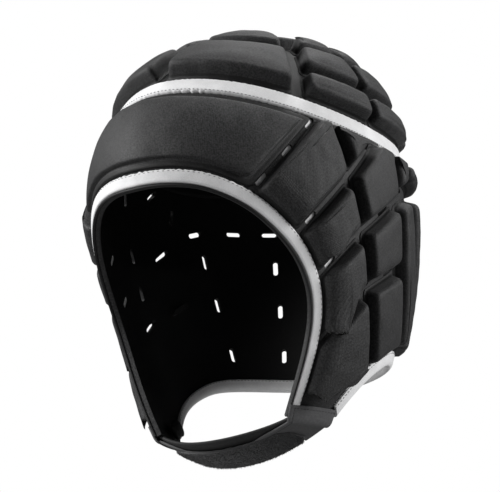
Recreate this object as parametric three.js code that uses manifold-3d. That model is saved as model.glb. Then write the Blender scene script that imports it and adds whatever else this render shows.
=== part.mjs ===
// Padded scrum cap with ear flaps and a chin strap, for a head of about 53 cm.
// Millimetres, +Z up, the face towards -Y and the wearer's left towards +X.
// The origin is the inside of the crown's top, where the cap sits on a head.

import * as THREE from 'three';
import Module from 'manifold-3d';

const wasm = await Module();
wasm.setup();

// The head form that the cap wraps, measured at its widest level
const INNER_WIDTH = 153;
const FRONT_REACH = 93;
const BACK_REACH = 89;
const CROWN_HEIGHT = 91;
const CROWN_SETBACK = 19;
const EAR_DROP = 120;
const FRONT_SQUARENESS = 1.81;
const BACK_SQUARENESS = 2.1;
const FRONT_TAPER = 0.4;
const BACK_TAPER = 0.215;
const FRONT_FULLNESS = 1;
const BACK_FULLNESS = 0.7;

// Cloth, foam and tape
const WALL = 3;
const PAD_HEIGHT = 8.2;
const CROWN_PAD_HEIGHT = 8.2;
const FOREHEAD_PAD_HEIGHT = 4.2;
const LEDGE_HEIGHT = 1.6;
const LEDGE_WIDTH = 3.5;
const GROOVE = 4;
const REAR_GROOVE = 7.5;
const MIDDLE_GROOVE = 7;
const VALLEY = 12;
const PAD_CORNER = 3.5;
const PAD_BEVEL = 3;
const FACE_SLOPE = 7;
const FACE_GAP = 1;
const TAPE = 1.2;
const EDGE_TAPE_WIDTH = 7;
const FACE_TAPE_INSET = 1.2;
const SEAM_TAPE_WIDTH = 10;
const SEAM_GAP = 0.6;
const CLEARANCE = 0.3;
const SEAT = 0.6;

// Vent slots
const VENT_LENGTH = 8.5;
const LONG_VENT_LENGTH = 12;
const VENT_WIDTH = 2.8;

// Chin strap
const STRAP_WIDTH = 30;
const STRAP_THICKNESS = 2.4;
const STRAP_FALL = 13;
const STRAP_FORWARD = 8;
const STRAP_TILT = 14;
const TAB_LAP = 6;
const TAPE_TRIM = 2;
const TAB_THICKNESS = 1.2;
const PILE_THICKNESS = 1.4;

const CROWN_ARC = CROWN_HEIGHT * Math.PI / 2;
const HEAD_GIRTH = Math.PI * (INNER_WIDTH + FRONT_REACH + BACK_REACH) / 2;
const MM_PER_DEGREE = (HEAD_GIRTH + 2 * Math.PI * WALL) / 360;
const rad = THREE.MathUtils.degToRad;
const deg = THREE.MathUtils.radToDeg;

// A spot on the cap is a turn in degrees from the front towards the wearer's left and a drop in
// millimetres below the widest level. A level is a drop as a share: of the ear drop below the
// widest level, and of the crown's arc above it, where it is negative.
const dropAt = (level) => level * (level < 0 ? CROWN_ARC : EAR_DROP);

// The crown seam runs lower at the ears than over the forehead.
const seamDrop = (turn) => dropAt(-0.265 - 0.0475 * Math.cos(rad(turn)) - 0.041 * Math.cos(2 * rad(turn)));

// The point of the head form at a spot, before the wall's thickness
function headPoint(turn, drop) {
  const side = Math.sin(rad(turn));
  const ahead = Math.cos(rad(turn));
  const behind = (1 - ahead) / 2;
  const power = ahead > 0 ? FRONT_SQUARENESS : BACK_SQUARENESS;
  const reach = ahead > 0 ? FRONT_REACH : BACK_REACH;
  const spread = Math.abs(side / (INNER_WIDTH / 2)) ** power + Math.abs(ahead / reach) ** power;
  let radius = spread ** (-1 / power);
  let height = -drop;
  let setback = 0;
  if (drop < 0) {
    const angle = Math.max(0, 1 + drop / CROWN_ARC) * Math.PI / 2;
    radius *= Math.sin(angle) ** THREE.MathUtils.lerp(FRONT_FULLNESS, BACK_FULLNESS, behind);
    height = CROWN_HEIGHT * Math.cos(angle);
    setback = CROWN_SETBACK * (1 - Math.sin(angle));
  } else {
    const taper = THREE.MathUtils.lerp(FRONT_TAPER, BACK_TAPER, behind ** 2);
    radius *= 1 - taper * (drop / EAR_DROP) ** 2;
  }
  return new THREE.Vector3(radius * side, setback - CROWN_SETBACK - radius * ahead, height - CROWN_HEIGHT);
}

// The outward direction at a spot
function outward(turn, drop) {
  const low = Math.max(drop, 1 - CROWN_ARC);
  const along = headPoint(turn + 0.5, low).sub(headPoint(turn - 0.5, low));
  const down = headPoint(turn, low + 0.5).sub(headPoint(turn, low - 0.5));
  return down.cross(along).normalize();
}

// The point that stands a height off the head form at a spot
function place(turn, drop, height) {
  if (drop <= 0.01 - CROWN_ARC) return new THREE.Vector3(0, 0, height);
  return headPoint(turn, drop).addScaledVector(outward(turn, drop), height);
}

// Flat charts of the cap in millimetres: the band unrolled, and the crown seen from its top
const band = {
  draw: (turn, drop) => new THREE.Vector2(turn * MM_PER_DEGREE, drop),
  raise: (point, height) => place(point.x / MM_PER_DEGREE, point.y, height),
};
const crown = {
  draw: (turn, drop) => {
    const arc = CROWN_ARC + drop;
    return new THREE.Vector2(arc * Math.sin(rad(turn)), -arc * Math.cos(rad(turn)));
  },
  raise: (point, height) => place(deg(Math.atan2(point.x, -point.y)), point.length() - CROWN_ARC, height),
};

// The edges of the band on the wearer's left, from the forehead's middle down to the ear flap's
// end, and from there up to the middle of the nape
const FACE_EDGE = [
  { turn: 0, level: 0.076 }, { turn: 12, level: 0.076 }, { turn: 24, level: 0.1 },
  { turn: 37, level: 0.17 }, { turn: 48, level: 0.265 }, { turn: 57, level: 0.37 },
  { turn: 63, level: 0.485 }, { turn: 65.5, level: 0.6 }, { turn: 65.5, level: 0.72 },
  { turn: 64, level: 0.85 }, { turn: 61.5, level: 1 },
];
const NAPE_EDGE = [
  { turn: 93, level: 1 }, { turn: 97, level: 0.94 }, { turn: 103, level: 0.865 },
  { turn: 109, level: 0.805 }, { turn: 117, level: 0.745 }, { turn: 127, level: 0.695 },
  { turn: 140, level: 0.675 }, { turn: 158, level: 0.677 }, { turn: 180, level: 0.695 },
];
const drawEdge = (rows) => new THREE.SplineCurve(rows.map((row) => band.draw(row.turn, dropAt(row.level))));
const faceEdge = drawEdge(FACE_EDGE);
const napeEdge = drawEdge(NAPE_EDGE);

// The chart point beside an edge, some way into the cloth
function beside(edge, share, distance) {
  const along = edge.getTangentAt(share);
  return edge.getPointAt(share).add(new THREE.Vector2(along.y, -along.x).multiplyScalar(distance));
}

// Solids are gathered from quads and triangles whose corners are merged where they meet.
class Solid {
  constructor() {
    this.keys = new Map();
    this.points = [];
    this.faces = [];
  }

  corner(point) {
    const key = point.toArray().map((value) => Math.round(value * 1e4)).join(' ');
    if (!this.keys.has(key)) {
      this.keys.set(key, this.points.length);
      this.points.push(point);
    }
    return this.keys.get(key);
  }

  triangle(a, b, c) {
    const face = [a, b, c].map((point) => this.corner(point));
    if (new Set(face).size === 3) this.faces.push(face);
  }

  quad(a, b, c, d) {
    this.triangle(a, b, c);
    this.triangle(a, c, d);
  }

  // A grid of points, rows by columns
  grid(rows, wrap = false) {
    const columns = rows[0].length;
    for (let i = 1; i < rows.length; i += 1) {
      for (let j = 1; j < columns + (wrap ? 1 : 0); j += 1) {
        const next = j % columns;
        this.quad(rows[i - 1][j - 1], rows[i - 1][next], rows[i][next], rows[i][j - 1]);
      }
    }
  }

  volume() {
    const [a, b, c] = [0, 1, 2].map((k) => (face) => this.points[face[k]]);
    return this.faces.reduce((sum, face) => sum + a(face).dot(b(face).clone().cross(c(face))) / 6, 0);
  }

  geometry() {
    const outwardFaces = this.volume() < 0 ? this.faces.map(([a, b, c]) => [a, c, b]) : this.faces;
    const shape = new THREE.BufferGeometry();
    shape.setAttribute('position', new THREE.Float32BufferAttribute(this.points.flatMap((p) => p.toArray()), 3));
    shape.setIndex(outwardFaces.flat());
    return shape;
  }
}

// The loop round a grid's rim
function rim(rows) {
  const last = rows.length - 1;
  const right = rows.map((row) => row.at(-1));
  const left = rows.map((row) => row[0]);
  return [...rows[0], ...right.slice(1, last), ...rows[last].toReversed(), ...left.slice(1, last).toReversed()];
}

// A slab between two grids alike, with loops between their rims
function slab(upper, lower, loops = []) {
  const solid = new Solid();
  solid.grid(upper);
  solid.grid(lower.map((row) => row.toReversed()));
  solid.grid([rim(lower), ...loops, rim(upper)], true);
  return solid.geometry();
}

// A tube wall between two grids that close on themselves sideways
function wall(outer, inner) {
  const solid = new Solid();
  solid.grid(outer, true);
  solid.grid(inner.toReversed(), true);
  solid.grid([inner[0], outer[0]], true);
  solid.grid([outer.at(-1), inner.at(-1)], true);
  return solid.geometry();
}

// A run of equal loops, capped at both ends by triangles of the flat section
function run(loops, section) {
  const solid = new Solid();
  solid.grid(loops, true);
  const turning = (points) => Math.sign(THREE.ShapeUtils.area(points));
  for (const face of THREE.ShapeUtils.triangulateShape(section, [])) {
    const alike = turning(face.map((i) => section[i])) === turning(section);
    const [a, b, c] = alike ? face : face.toReversed();
    solid.triangle(loops[0][c], loops[0][b], loops[0][a]);
    solid.triangle(loops.at(-1)[a], loops.at(-1)[b], loops.at(-1)[c]);
  }
  return solid.geometry();
}

const CLOTH = { color: 0x1d1d1f, roughness: 0.85, metalness: 0 };
const LIGHT_TAPE = { color: 0xdcdcdc, roughness: 0.9, metalness: 0 };
const PILE = { color: 0x2a2a2c, roughness: 1, metalness: 0 };
const cap = new THREE.Group();

function add(name, geometry, finish) {
  const mesh = new THREE.Mesh(geometry, new THREE.MeshStandardMaterial(finish));
  mesh.name = name;
  cap.add(mesh);
}

const steps = (count) => Array.from({ length: count + 1 }, (_, i) => i / count);
const mirrored = (point) => new THREE.Vector2(-point.x, point.y);

// Band shell: straight chart lines run down from the crown seam to the lower edge. The seam
// turns are spread so that the lines fan out over the ear flap without crossing.
const FLAP_TURNS = { front: 92, back: 112 };
const BAND_ROWS = 7;
const FACE_COLUMNS = 18;
const NAPE_COLUMNS = 12;
const FLAP_COLUMNS = 4;
const bandColumns = [
  ...steps(FACE_COLUMNS).map((share) => ({ turn: FLAP_TURNS.front * share, foot: faceEdge.getPointAt(share) })),
  ...steps(FLAP_COLUMNS).slice(1, -1).map((share) => ({
    turn: THREE.MathUtils.lerp(FLAP_TURNS.front, FLAP_TURNS.back, share),
    foot: faceEdge.getPointAt(1).lerp(napeEdge.getPointAt(0), share),
  })),
  ...steps(NAPE_COLUMNS).map((share) => ({
    turn: THREE.MathUtils.lerp(FLAP_TURNS.back, 180, share),
    foot: napeEdge.getPointAt(share),
  })),
];
const bandLines = bandColumns.map(({ turn, foot }) => {
  const head = band.draw(turn, seamDrop(turn) + SEAM_GAP / 2);
  return steps(BAND_ROWS).map((share) => head.clone().lerp(foot, share));
});
const bandRound = [...bandLines, ...bandLines.slice(1, -1).toReversed().map((line) => line.map(mirrored))];
const bandGrid = (height) => steps(BAND_ROWS).map((_, i) => bandRound.map((line) => band.raise(line[i], height)));
const bandShell = wall(bandGrid(WALL), bandGrid(0));

// Vent slots through the band, each along its groove: the lean is the slot's slope in the chart.
// The slots over the ears are longer.
const VENTS = [
  { turn: 62.2, level: -0.2, lean: 55 }, { turn: 52.3, level: -0.075, lean: 55 },
  { turn: 42.5, level: 0.048, lean: 55 }, { turn: 62, level: 0.19, lean: 50 },
  { turn: 72, level: 0.361, lean: 48 }, { turn: 73.5, level: -0.12, lean: -65 },
  { turn: 92.2, level: -0.175, lean: 48 }, { turn: 81.8, level: 0.114, lean: -65 },
  { turn: 87, level: 0.285, lean: -75 }, { turn: 91.2, level: 0.437, lean: 40, long: true },
  { turn: 101, level: 0.07, lean: 38, long: true }, { turn: 118, level: -0.06, lean: 18 },
  { turn: 135, level: -0.082, lean: 2 }, { turn: 149, level: -0.085, lean: 0 },
  { turn: 105.5, level: -0.11, lean: -85 }, { turn: 109, level: 0.323, lean: 30, long: true },
  { turn: 123, level: 0.057, lean: -75 }, { turn: 128.5, level: 0.266, lean: -75 },
  { turn: 134.5, level: 0.513, lean: -75 }, { turn: 151.5, level: 0.067, lean: -87 },
  { turn: 153.5, level: 0.285, lean: -87 }, { turn: 155.5, level: 0.513, lean: -87 },
];
const toManifold = (geometry) => new wasm.Manifold(new wasm.Mesh({
  numProp: 3,
  vertProperties: new Float32Array(geometry.attributes.position.array),
  triVerts: new Uint32Array(geometry.index.array),
}));
function fromManifold(solid) {
  const mesh = solid.getMesh();
  const shape = new THREE.BufferGeometry();
  shape.setAttribute('position', new THREE.Float32BufferAttribute(mesh.vertProperties, mesh.numProp));
  shape.setIndex(Array.from(mesh.triVerts));
  return shape;
}
function ventCutter(row, side) {
  const drop = dropAt(row.level);
  const middle = band.draw(side * row.turn, drop);
  const lean = rad(side * row.lean);
  const ahead = middle.clone().add(new THREE.Vector2(Math.cos(lean), -Math.sin(lean)));
  const axis = band.raise(ahead, 0).sub(band.raise(middle, 0)).normalize();
  const out = outward(side * row.turn, drop);
  const across = out.clone().cross(axis).normalize();
  const length = row.long ? LONG_VENT_LENGTH : VENT_LENGTH;
  const box = new THREE.BoxGeometry(length, VENT_WIDTH, 4 * WALL);
  const frame = new THREE.Matrix4().makeBasis(across.clone().cross(out), across, out);
  box.applyMatrix4(frame.setPosition(band.raise(middle, WALL / 2)));
  const cutter = new Solid();
  const corners = box.attributes.position;
  const at = (k) => new THREE.Vector3().fromBufferAttribute(corners, box.index.getX(k));
  for (let k = 0; k < box.index.count; k += 3) cutter.triangle(at(k), at(k + 1), at(k + 2));
  return toManifold(cutter.geometry());
}
let pierced = toManifold(bandShell);
for (const row of VENTS) {
  for (const side of [1, -1]) pierced = pierced.subtract(ventCutter(row, side));
}
add('band_shell', fromManifold(pierced), CLOTH);

// Crown shell: rings that shrink to the crown's top
const CROWN_COLUMNS = 40;
const CROWN_ROWS = 6;
function crownShell() {
  const turns = steps(CROWN_COLUMNS).slice(0, -1).map((share) => 360 * share - 180);
  const ring = (share, height) => turns.map((turn) => {
    const foot = seamDrop(turn) - SEAM_GAP / 2;
    return place(turn, THREE.MathUtils.lerp(-CROWN_ARC, foot, share), height);
  });
  const solid = new Solid();
  const outer = steps(CROWN_ROWS).map((share) => ring(share, WALL));
  const inner = steps(CROWN_ROWS).map((share) => ring(share, 0));
  solid.grid(outer, true);
  solid.grid(inner.toReversed(), true);
  solid.grid([outer.at(-1), inner.at(-1)], true);
  return solid.geometry();
}
add('crown_shell', crownShell(), CLOTH);

// Crown binding: a flat tape over the seam
const SEAM_COLUMNS = 56;
function seamTape() {
  const turns = steps(SEAM_COLUMNS).slice(0, -1).map((share) => 360 * share);
  const half = SEAM_TAPE_WIDTH / 2;
  const loop = (shift, height) => turns.map((turn) => place(turn, seamDrop(turn) + shift, height));
  const low = WALL + SEAT;
  const solid = new Solid();
  const loops = [loop(-half, low), loop(-half, low + TAPE), loop(half, low + TAPE), loop(half, low)];
  solid.grid([...loops, loops[0]], true);
  return solid.geometry();
}
add('crown_binding', seamTape(), LIGHT_TAPE);

// Edge bindings. The face tape lies flat outside, just in from the edge, and the nape tape is
// folded over it. Their sections stand on the band's columns, and their ends clear the strap tabs.
const tapeLow = WALL + SEAT;
const tapeTop = tapeLow + TAPE;
const drawSection = (corners) => corners.map(([inset, height]) => new THREE.Vector2(inset, height));
const faceTapeEnd = FACE_TAPE_INSET + EDGE_TAPE_WIDTH;
const FLAT_TAPE = drawSection([
  [faceTapeEnd, tapeLow], [faceTapeEnd, tapeTop], [FACE_TAPE_INSET, tapeTop], [FACE_TAPE_INSET, tapeLow],
]);
const FOLDED_TAPE = drawSection([
  [EDGE_TAPE_WIDTH, tapeLow], [EDGE_TAPE_WIDTH, tapeTop], [-SEAT - TAPE, tapeTop],
  [-SEAT - TAPE, -SEAT - TAPE], [EDGE_TAPE_WIDTH, -SEAT - TAPE], [EDGE_TAPE_WIDTH, -SEAT],
  [-SEAT, -SEAT], [-SEAT, tapeLow],
]);
const tapeEnd = (edge) => (TAB_LAP + TAPE_TRIM) / edge.getLength();
function edgeTape(edge, half, section) {
  const loop = (share, flip) => section.map(({ x, y }) => {
    const point = beside(edge, share, x);
    return band.raise(flip ? mirrored(point) : point, y);
  });
  const near = half.map((share) => loop(share, false));
  const far = half.slice(0, -1).map((share) => loop(share, true)).toReversed();
  return run([...near, ...far], section);
}
const faceStop = 1 - tapeEnd(faceEdge);
const faceShares = [...steps(FACE_COLUMNS).filter((share) => share < faceStop), faceStop];
const napeShares = [tapeEnd(napeEdge), ...steps(NAPE_COLUMNS).filter((share) => share > tapeEnd(napeEdge))];
add('face_binding', edgeTape(faceEdge, faceShares.toReversed(), FLAT_TAPE), LIGHT_TAPE);
add('nape_binding', edgeTape(napeEdge, napeShares, FOLDED_TAPE), LIGHT_TAPE);

// The lattice of grooves on the band. A knot is a spot where grooves meet, or where one ends on
// the seam tape or on an edge tape, at a share of the edge's length. The rear grooves are wider.
const KNOTS = {
  seam1: { on: 'seam', at: 64.3 }, seam2: { on: 'seam', at: 70.5 }, seam3: { on: 'seam', at: 82 },
  seam4: { on: 'seam', at: 94 }, seam5: { on: 'seam', at: 104.5 }, seam6: { on: 'seam', at: 117 },
  seam7: { on: 'seam', at: 150 }, seam8: { on: 'seam', at: 180 },
  face1: { on: 'face', at: 0.322 }, face2: { on: 'face', at: 0.497 }, face3: { on: 'face', at: 0.624 },
  face4: { on: 'face', at: 0.79 }, face5: { on: 'face', at: 0.945 },
  nape1: { on: 'nape', at: 0.1 }, nape2: { on: 'nape', at: 0.2 }, nape3: { on: 'nape', at: 0.44 },
  nape4: { on: 'nape', at: 0.552 }, nape5: { on: 'nape', at: 0.752 }, nape6: { on: 'nape', at: 1 },
  mid1: { turn: 78, level: -0.014 }, mid2: { turn: 85, level: 0.209 }, mid3: { turn: 107.5, level: 0.014 },
  mid4: { turn: 120, level: -0.065, rear: true }, mid5: { turn: 151, level: -0.085, rear: true },
  mid6: { turn: 180, level: -0.085, rear: true },
  low1: { turn: 91, level: 0.442 }, low2: { turn: 112.5, level: 0.299 },
  low3: { turn: 129, level: 0.285, rear: true },
};
const rails = {
  seam: (turn) => band.draw(turn, seamDrop(turn) + SEAM_TAPE_WIDTH / 2),
  face: (share) => beside(faceEdge, share, faceTapeEnd),
  nape: (share) => beside(napeEdge, share, EDGE_TAPE_WIDTH),
};
const knotPoint = (knot) => (knot.on ? rails[knot.on](knot.at) : band.draw(knot.turn, dropAt(knot.level)));

// The points of a pad's side from knot to knot, along a rail where both knots lie on it
const RAIL_STEPS = 6;
function sidePoints(names) {
  const points = [knotPoint(KNOTS[names[0]])];
  for (let k = 1; k < names.length; k += 1) {
    const from = KNOTS[names[k - 1]];
    const to = KNOTS[names[k]];
    if (from.on && from.on === to.on) {
      const between = steps(RAIL_STEPS).slice(1, -1);
      points.push(...between.map((share) => rails[to.on](THREE.MathUtils.lerp(from.at, to.at, share))));
    }
    points.push(knotPoint(to));
  }
  return points;
}

// The four sides of a pad, each moved in by its own inset. A point moves to where its edges meet.
function insetSides(sides, insets) {
  const loop = sides.flatMap((side) => side.slice(0, -1));
  const depths = sides.flatMap((side, i) => side.slice(1).map(() => insets[i]));
  const sign = Math.sign(THREE.ShapeUtils.area(loop));
  const inward = loop.map((point, i) => {
    const along = loop[(i + 1) % loop.length].clone().sub(point).normalize();
    return new THREE.Vector2(-along.y, along.x).multiplyScalar(sign);
  });
  const moved = loop.map((point, i) => {
    const [a, b] = [inward.at(i - 1), inward[i]];
    const [m, n] = [depths.at(i - 1), depths[i]];
    const turn = a.cross(b);
    if (Math.abs(turn) < 0.1) return point.clone().addScaledVector(a.clone().add(b), (m + n) / 2 / (1 + a.dot(b)));
    return point.clone().add(new THREE.Vector2(m * b.y - n * a.y, n * a.x - m * b.x).divideScalar(turn));
  });
  let start = 0;
  return sides.map((side) => {
    const indices = side.map((_, i) => (start + i) % moved.length);
    start += side.length - 1;
    return indices.map((i) => moved[i]);
  });
}

// Four boundary curves of a pad with its corners rounded, each from one corner's middle to the next
function roundedSides(sides, radius, segments) {
  const lines = sides.map((side) => {
    const path = new THREE.CurvePath();
    for (let i = 1; i < side.length; i += 1) path.add(new THREE.LineCurve(side[i - 1], side[i]));
    return path;
  });
  const trims = lines.map((line) => Math.min(radius / line.getLength(), 0.4));
  const bend = (i) => {
    const entry = lines.at(i - 1).getPointAt(1 - trims.at(i - 1));
    return new THREE.QuadraticBezierCurve(entry, sides[i][0], lines[i].getPointAt(trims[i]));
  };
  return sides.map((_, i) => {
    const next = (i + 1) % 4;
    const points = [0.5, 0.75, 1].map((t) => bend(i).getPoint(t));
    for (const share of steps(8).slice(1, -1)) {
      points.push(lines[i].getPointAt(THREE.MathUtils.lerp(trims[i], 1 - trims[i], share)));
    }
    points.push(...[0, 0.25, 0.5].map((t) => bend(next).getPoint(t)));
    const outline = new THREE.CurvePath();
    for (let k = 1; k < points.length; k += 1) outline.add(new THREE.LineCurve(points[k - 1], points[k]));
    return steps(segments[i % 2]).map((share) => outline.getPointAt(share));
  });
}

// A grid over the space that four boundary curves enclose
function coonsGrid([top, right, bottom, left]) {
  const across = top.length - 1;
  const down = right.length - 1;
  return steps(down).map((v, i) => steps(across).map((u, j) => {
    const a = left[down - i];
    const b = right[i];
    const c = top[j];
    const d = bottom[across - j];
    const blend = (k) => {
      const sides = a[k] * (1 - u) + b[k] * u + c[k] * (1 - v) + d[k] * v;
      const upper = top[0][k] * (1 - u) + top[across][k] * u;
      const lower = bottom[across][k] * (1 - u) + bottom[0][k] * u;
      return sides - upper * (1 - v) - lower * v;
    };
    return new THREE.Vector2(blend('x'), blend('y'));
  }));
}

// A pad from its foot on the shell up to its top, in layers of inset and height. Each side keeps
// its own margin besides, and a side along the face edge takes the layer's slope instead.
const PAD_CELL = 14;
const evenMargins = [1, 1, 1, 1].map((side) => (side * GROOVE) / 2);
function pad(chart, sides, layers, { sloped = [], margins = evenMargins, cell = PAD_CELL } = {}) {
  const sideLength = (side) => side.slice(1).reduce((sum, point, i) => sum + point.distanceTo(side[i]), 0);
  const longer = (i) => Math.max(sideLength(sides[i]), sideLength(sides[i + 2]));
  const segments = [0, 1].map((i) => Math.max(2, Math.round(longer(i) / cell)));
  const grids = layers.map(({ inset, slope, height }) => {
    const insets = margins.map((margin, i) => (sloped[i] ? slope : margin + inset));
    const boundary = roundedSides(insetSides(sides, insets), PAD_CORNER, segments);
    return coonsGrid(boundary).map((row) => row.map((point) => chart.raise(point, height)));
  });
  return slab(grids.at(-1), grids[0], grids.slice(1, -1).map(rim));
}

const foot = WALL + SEAT;
const domeLayers = (rise) => [
  { inset: 0, slope: FACE_GAP, height: foot },
  { inset: 0.25 * PAD_BEVEL, slope: 0.4 * FACE_SLOPE, height: WALL + 0.6 * rise },
  { inset: PAD_BEVEL, slope: FACE_SLOPE, height: WALL + rise },
];

// Forehead pad: a ledge all round and a low flat top, between the grooves that slant to the temples
function foreheadPad() {
  const flip = (points) => points.map(mirrored).toReversed();
  const join = (points) => [...flip(points), ...points.slice(1)];
  const seam = steps(RAIL_STEPS).map((share) => rails.seam(KNOTS.seam1.at * share));
  const face = steps(RAIL_STEPS).map((share) => rails.face(KNOTS.face1.at * share));
  const slant = [seam.at(-1), face.at(-1)];
  const sides = [join(seam), slant, join(face).toReversed(), flip(slant)];
  return pad(band, sides, [
    { inset: 0, height: foot },
    { inset: 0, height: WALL + LEDGE_HEIGHT },
    { inset: LEDGE_WIDTH, height: WALL + LEDGE_HEIGHT },
    { inset: LEDGE_WIDTH + 1, height: WALL + FOREHEAD_PAD_HEIGHT },
  ]);
}
add('forehead_pad', foreheadPad(), CLOTH);

// Side pads: each fills a cell of the lattice, given by its four sides from knot to knot
const SIDE_PADS = [
  { name: 'temple_pad', sides: ['seam1 seam2 mid1', 'mid1 face2', 'face2 face1', 'face1 seam1'] },
  { name: 'wedge_pad', sides: ['seam2 seam3', 'seam3 seam4', 'seam4 mid1', 'mid1 seam2'] },
  { name: 'upper_pad', sides: ['seam4 seam5', 'seam5 mid3', 'mid3 mid2', 'mid2 mid1 seam4'] },
  { name: 'upper_rear_pad', sides: ['seam5 seam6', 'seam6 mid4', 'mid4 mid3', 'mid3 seam5'] },
  { name: 'upper_nape_pad', sides: ['seam6 seam7', 'seam7 mid5', 'mid5 mid4', 'mid4 seam6'] },
  { name: 'upper_back_pad', sides: ['seam7 seam8', 'seam8 mid6', 'mid6 mid5', 'mid5 seam7'] },
  { name: 'cheek_pad', sides: ['mid1 mid2', 'mid2 face3', 'face3 face2', 'face2 mid1'] },
  { name: 'ear_pad', sides: ['mid3 low2', 'low2 low1', 'low1 mid2', 'mid2 mid3'] },
  { name: 'jaw_pad', sides: ['mid2 low1', 'low1 face4', 'face4 face3', 'face3 mid2'] },
  { name: 'flap_pad', sides: ['face4 low1', 'low1 nape2 nape1', 'nape1 face5', 'face5 face4'] },
  { name: 'lower_pad', sides: ['low2 nape3', 'nape3 nape2', 'nape2 low1', 'low1 low2'] },
  { name: 'rear_pad', sides: ['mid3 mid4', 'mid4 low3 nape4', 'nape4 nape3', 'nape3 low2 mid3'] },
  { name: 'nape_pad', sides: ['mid4 mid5', 'mid5 nape5', 'nape5 nape4', 'nape4 low3 mid4'] },
  { name: 'back_pad', sides: ['mid5 mid6', 'mid6 nape6', 'nape6 nape5', 'nape5 mid5'] },
];
const onFace = (names) => names.every((name) => KNOTS[name].on === 'face');
const margin = (names) => (names.some((name) => KNOTS[name].rear) ? REAR_GROOVE : GROOVE) / 2;
const sideLayers = domeLayers(PAD_HEIGHT);
for (const row of SIDE_PADS) {
  const names = row.sides.map((side) => side.split(' '));
  const sides = names.map(sidePoints);
  const other = sides.map((side) => side.map(mirrored));
  const shape = { sloped: names.map(onFace), margins: names.map(margin) };
  add(`left_${row.name}`, pad(band, sides, sideLayers, shape), CLOTH);
  add(`right_${row.name}`, pad(band, other, sideLayers, shape), CLOTH);
}

// Crown pads: sectors between radial grooves, cut across at shares of the way up from the seam. A
// sector may keep a wider gap before or after it, and its pads may stand taller.
const CROWN_SECTORS = [
  { name: 'front', from: 0, to: 58, before: MIDDLE_GROOVE, after: VALLEY, rise: 1.15, cuts: [0, 0.37, 0.7] },
  { name: 'side', from: 58, to: 96, before: VALLEY, after: GROOVE, rise: 1, cuts: [0, 0.2, 0.48, 0.72] },
  { name: 'rear_side', from: 96, to: 136, before: GROOVE, after: GROOVE, rise: 1, cuts: [0, 0.2, 0.47, 0.72] },
  { name: 'rear', from: 136, to: 180, before: GROOVE, after: GROOVE, rise: 1, cuts: [0, 0.36, 0.72] },
];
const crownSeam = (turn) => seamDrop(turn) - SEAM_TAPE_WIDTH / 2;
const crownSpot = (turn, share) => crown.draw(turn, THREE.MathUtils.lerp(crownSeam(turn), -CROWN_ARC, share));
function sectorSides(row, low, high) {
  const clear = (gap, share) => {
    const reach = crownSpot((row.from + row.to) / 2, share).length();
    return deg((gap - GROOVE) / 2 / reach);
  };
  const arc = (share) => steps(RAIL_STEPS).map((k) => {
    const from = row.from + clear(row.before, share);
    const to = row.to - clear(row.after, share);
    return crownSpot(THREE.MathUtils.lerp(from, to, k), share);
  });
  const outer = arc(low);
  const inner = arc(high);
  return [outer.toReversed(), [outer[0], inner[0]], inner, [inner.at(-1), outer.at(-1)]];
}
for (const row of CROWN_SECTORS) {
  const layers = domeLayers(CROWN_PAD_HEIGHT * row.rise);
  for (let k = 1; k < row.cuts.length; k += 1) {
    const sides = sectorSides(row, row.cuts[k - 1], row.cuts[k]);
    add(`left_${row.name}_crown_pad_${k}`, pad(crown, sides, layers), CLOTH);
    const other = sides.map((side) => side.map(mirrored));
    add(`right_${row.name}_crown_pad_${k}`, pad(crown, other, layers), CLOTH);
  }
}

// Top pads: a half round on each side of the middle groove
const TOP_SHARE = 0.72;
const TOP_CELL = 9;
const topArc = (from, to) => steps(RAIL_STEPS).map(
  (k) => crownSpot(THREE.MathUtils.lerp(from, to, k), TOP_SHARE),
);
const topLine = [crownSpot(180, TOP_SHARE), crownSpot(0, TOP_SHARE)];
const topSides = [topArc(0, 50), topArc(50, 130), topArc(130, 180), topLine];
for (const [side, sides] of [['left', topSides], ['right', topSides.map((line) => line.map(mirrored))]]) {
  add(`${side}_top_pad`, pad(crown, sides, domeLayers(CROWN_PAD_HEIGHT), { cell: TOP_CELL }), CLOTH);
}

// Chin strap: a band from flap to flap under the chin. A sway of -90 and 90 degrees is its right
// and left end, and the share runs from its front edge to its rear edge.
const STRAP_TURNS = { front: 63.5, back: 91 };
const strapEnd = (share) => place(
  THREE.MathUtils.lerp(STRAP_TURNS.front, STRAP_TURNS.back, share),
  EAR_DROP + CLEARANCE + STRAP_THICKNESS / 4,
  WALL / 2,
);
const strapMiddle = strapEnd(0.5).setX(0).add(new THREE.Vector3(0, -STRAP_FORWARD, -STRAP_FALL));
function strapPoint(sway, share) {
  const end = strapEnd(share);
  const across = (share - 0.5) * STRAP_WIDTH;
  const middle = strapMiddle.clone().add(
    new THREE.Vector3(0, across * Math.cos(rad(STRAP_TILT)), -across * Math.sin(rad(STRAP_TILT))),
  );
  const sag = Math.cos(rad(sway));
  return new THREE.Vector3(
    end.x * Math.sin(rad(sway)),
    THREE.MathUtils.lerp(end.y, middle.y, sag ** 2.7),
    THREE.MathUtils.lerp(end.z, middle.z, sag ** 2),
  );
}
function strapOut(sway, share) {
  const safe = THREE.MathUtils.clamp(sway, -86, 86);
  const along = strapPoint(safe + 2, share).sub(strapPoint(safe - 2, share));
  const across = strapPoint(safe, share + 0.1).sub(strapPoint(safe, share - 0.1));
  return across.cross(along).normalize();
}
const strapSpot = (sway, share, height) => strapPoint(sway, share).addScaledVector(strapOut(sway, share), height);
const strapLayer = (sways, shares, height) => sways.map(
  (sway) => shares(sway).map((share) => strapSpot(sway, share, height)),
);
const fullWidth = () => [0, 0.5, 1];
const strapSways = steps(36).map((share) => 180 * share - 90);
const strapTop = STRAP_THICKNESS / 2;
add('chin_strap', slab(
  strapLayer(strapSways, fullWidth, strapTop),
  strapLayer(strapSways, fullWidth, -strapTop),
), CLOTH);

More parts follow.
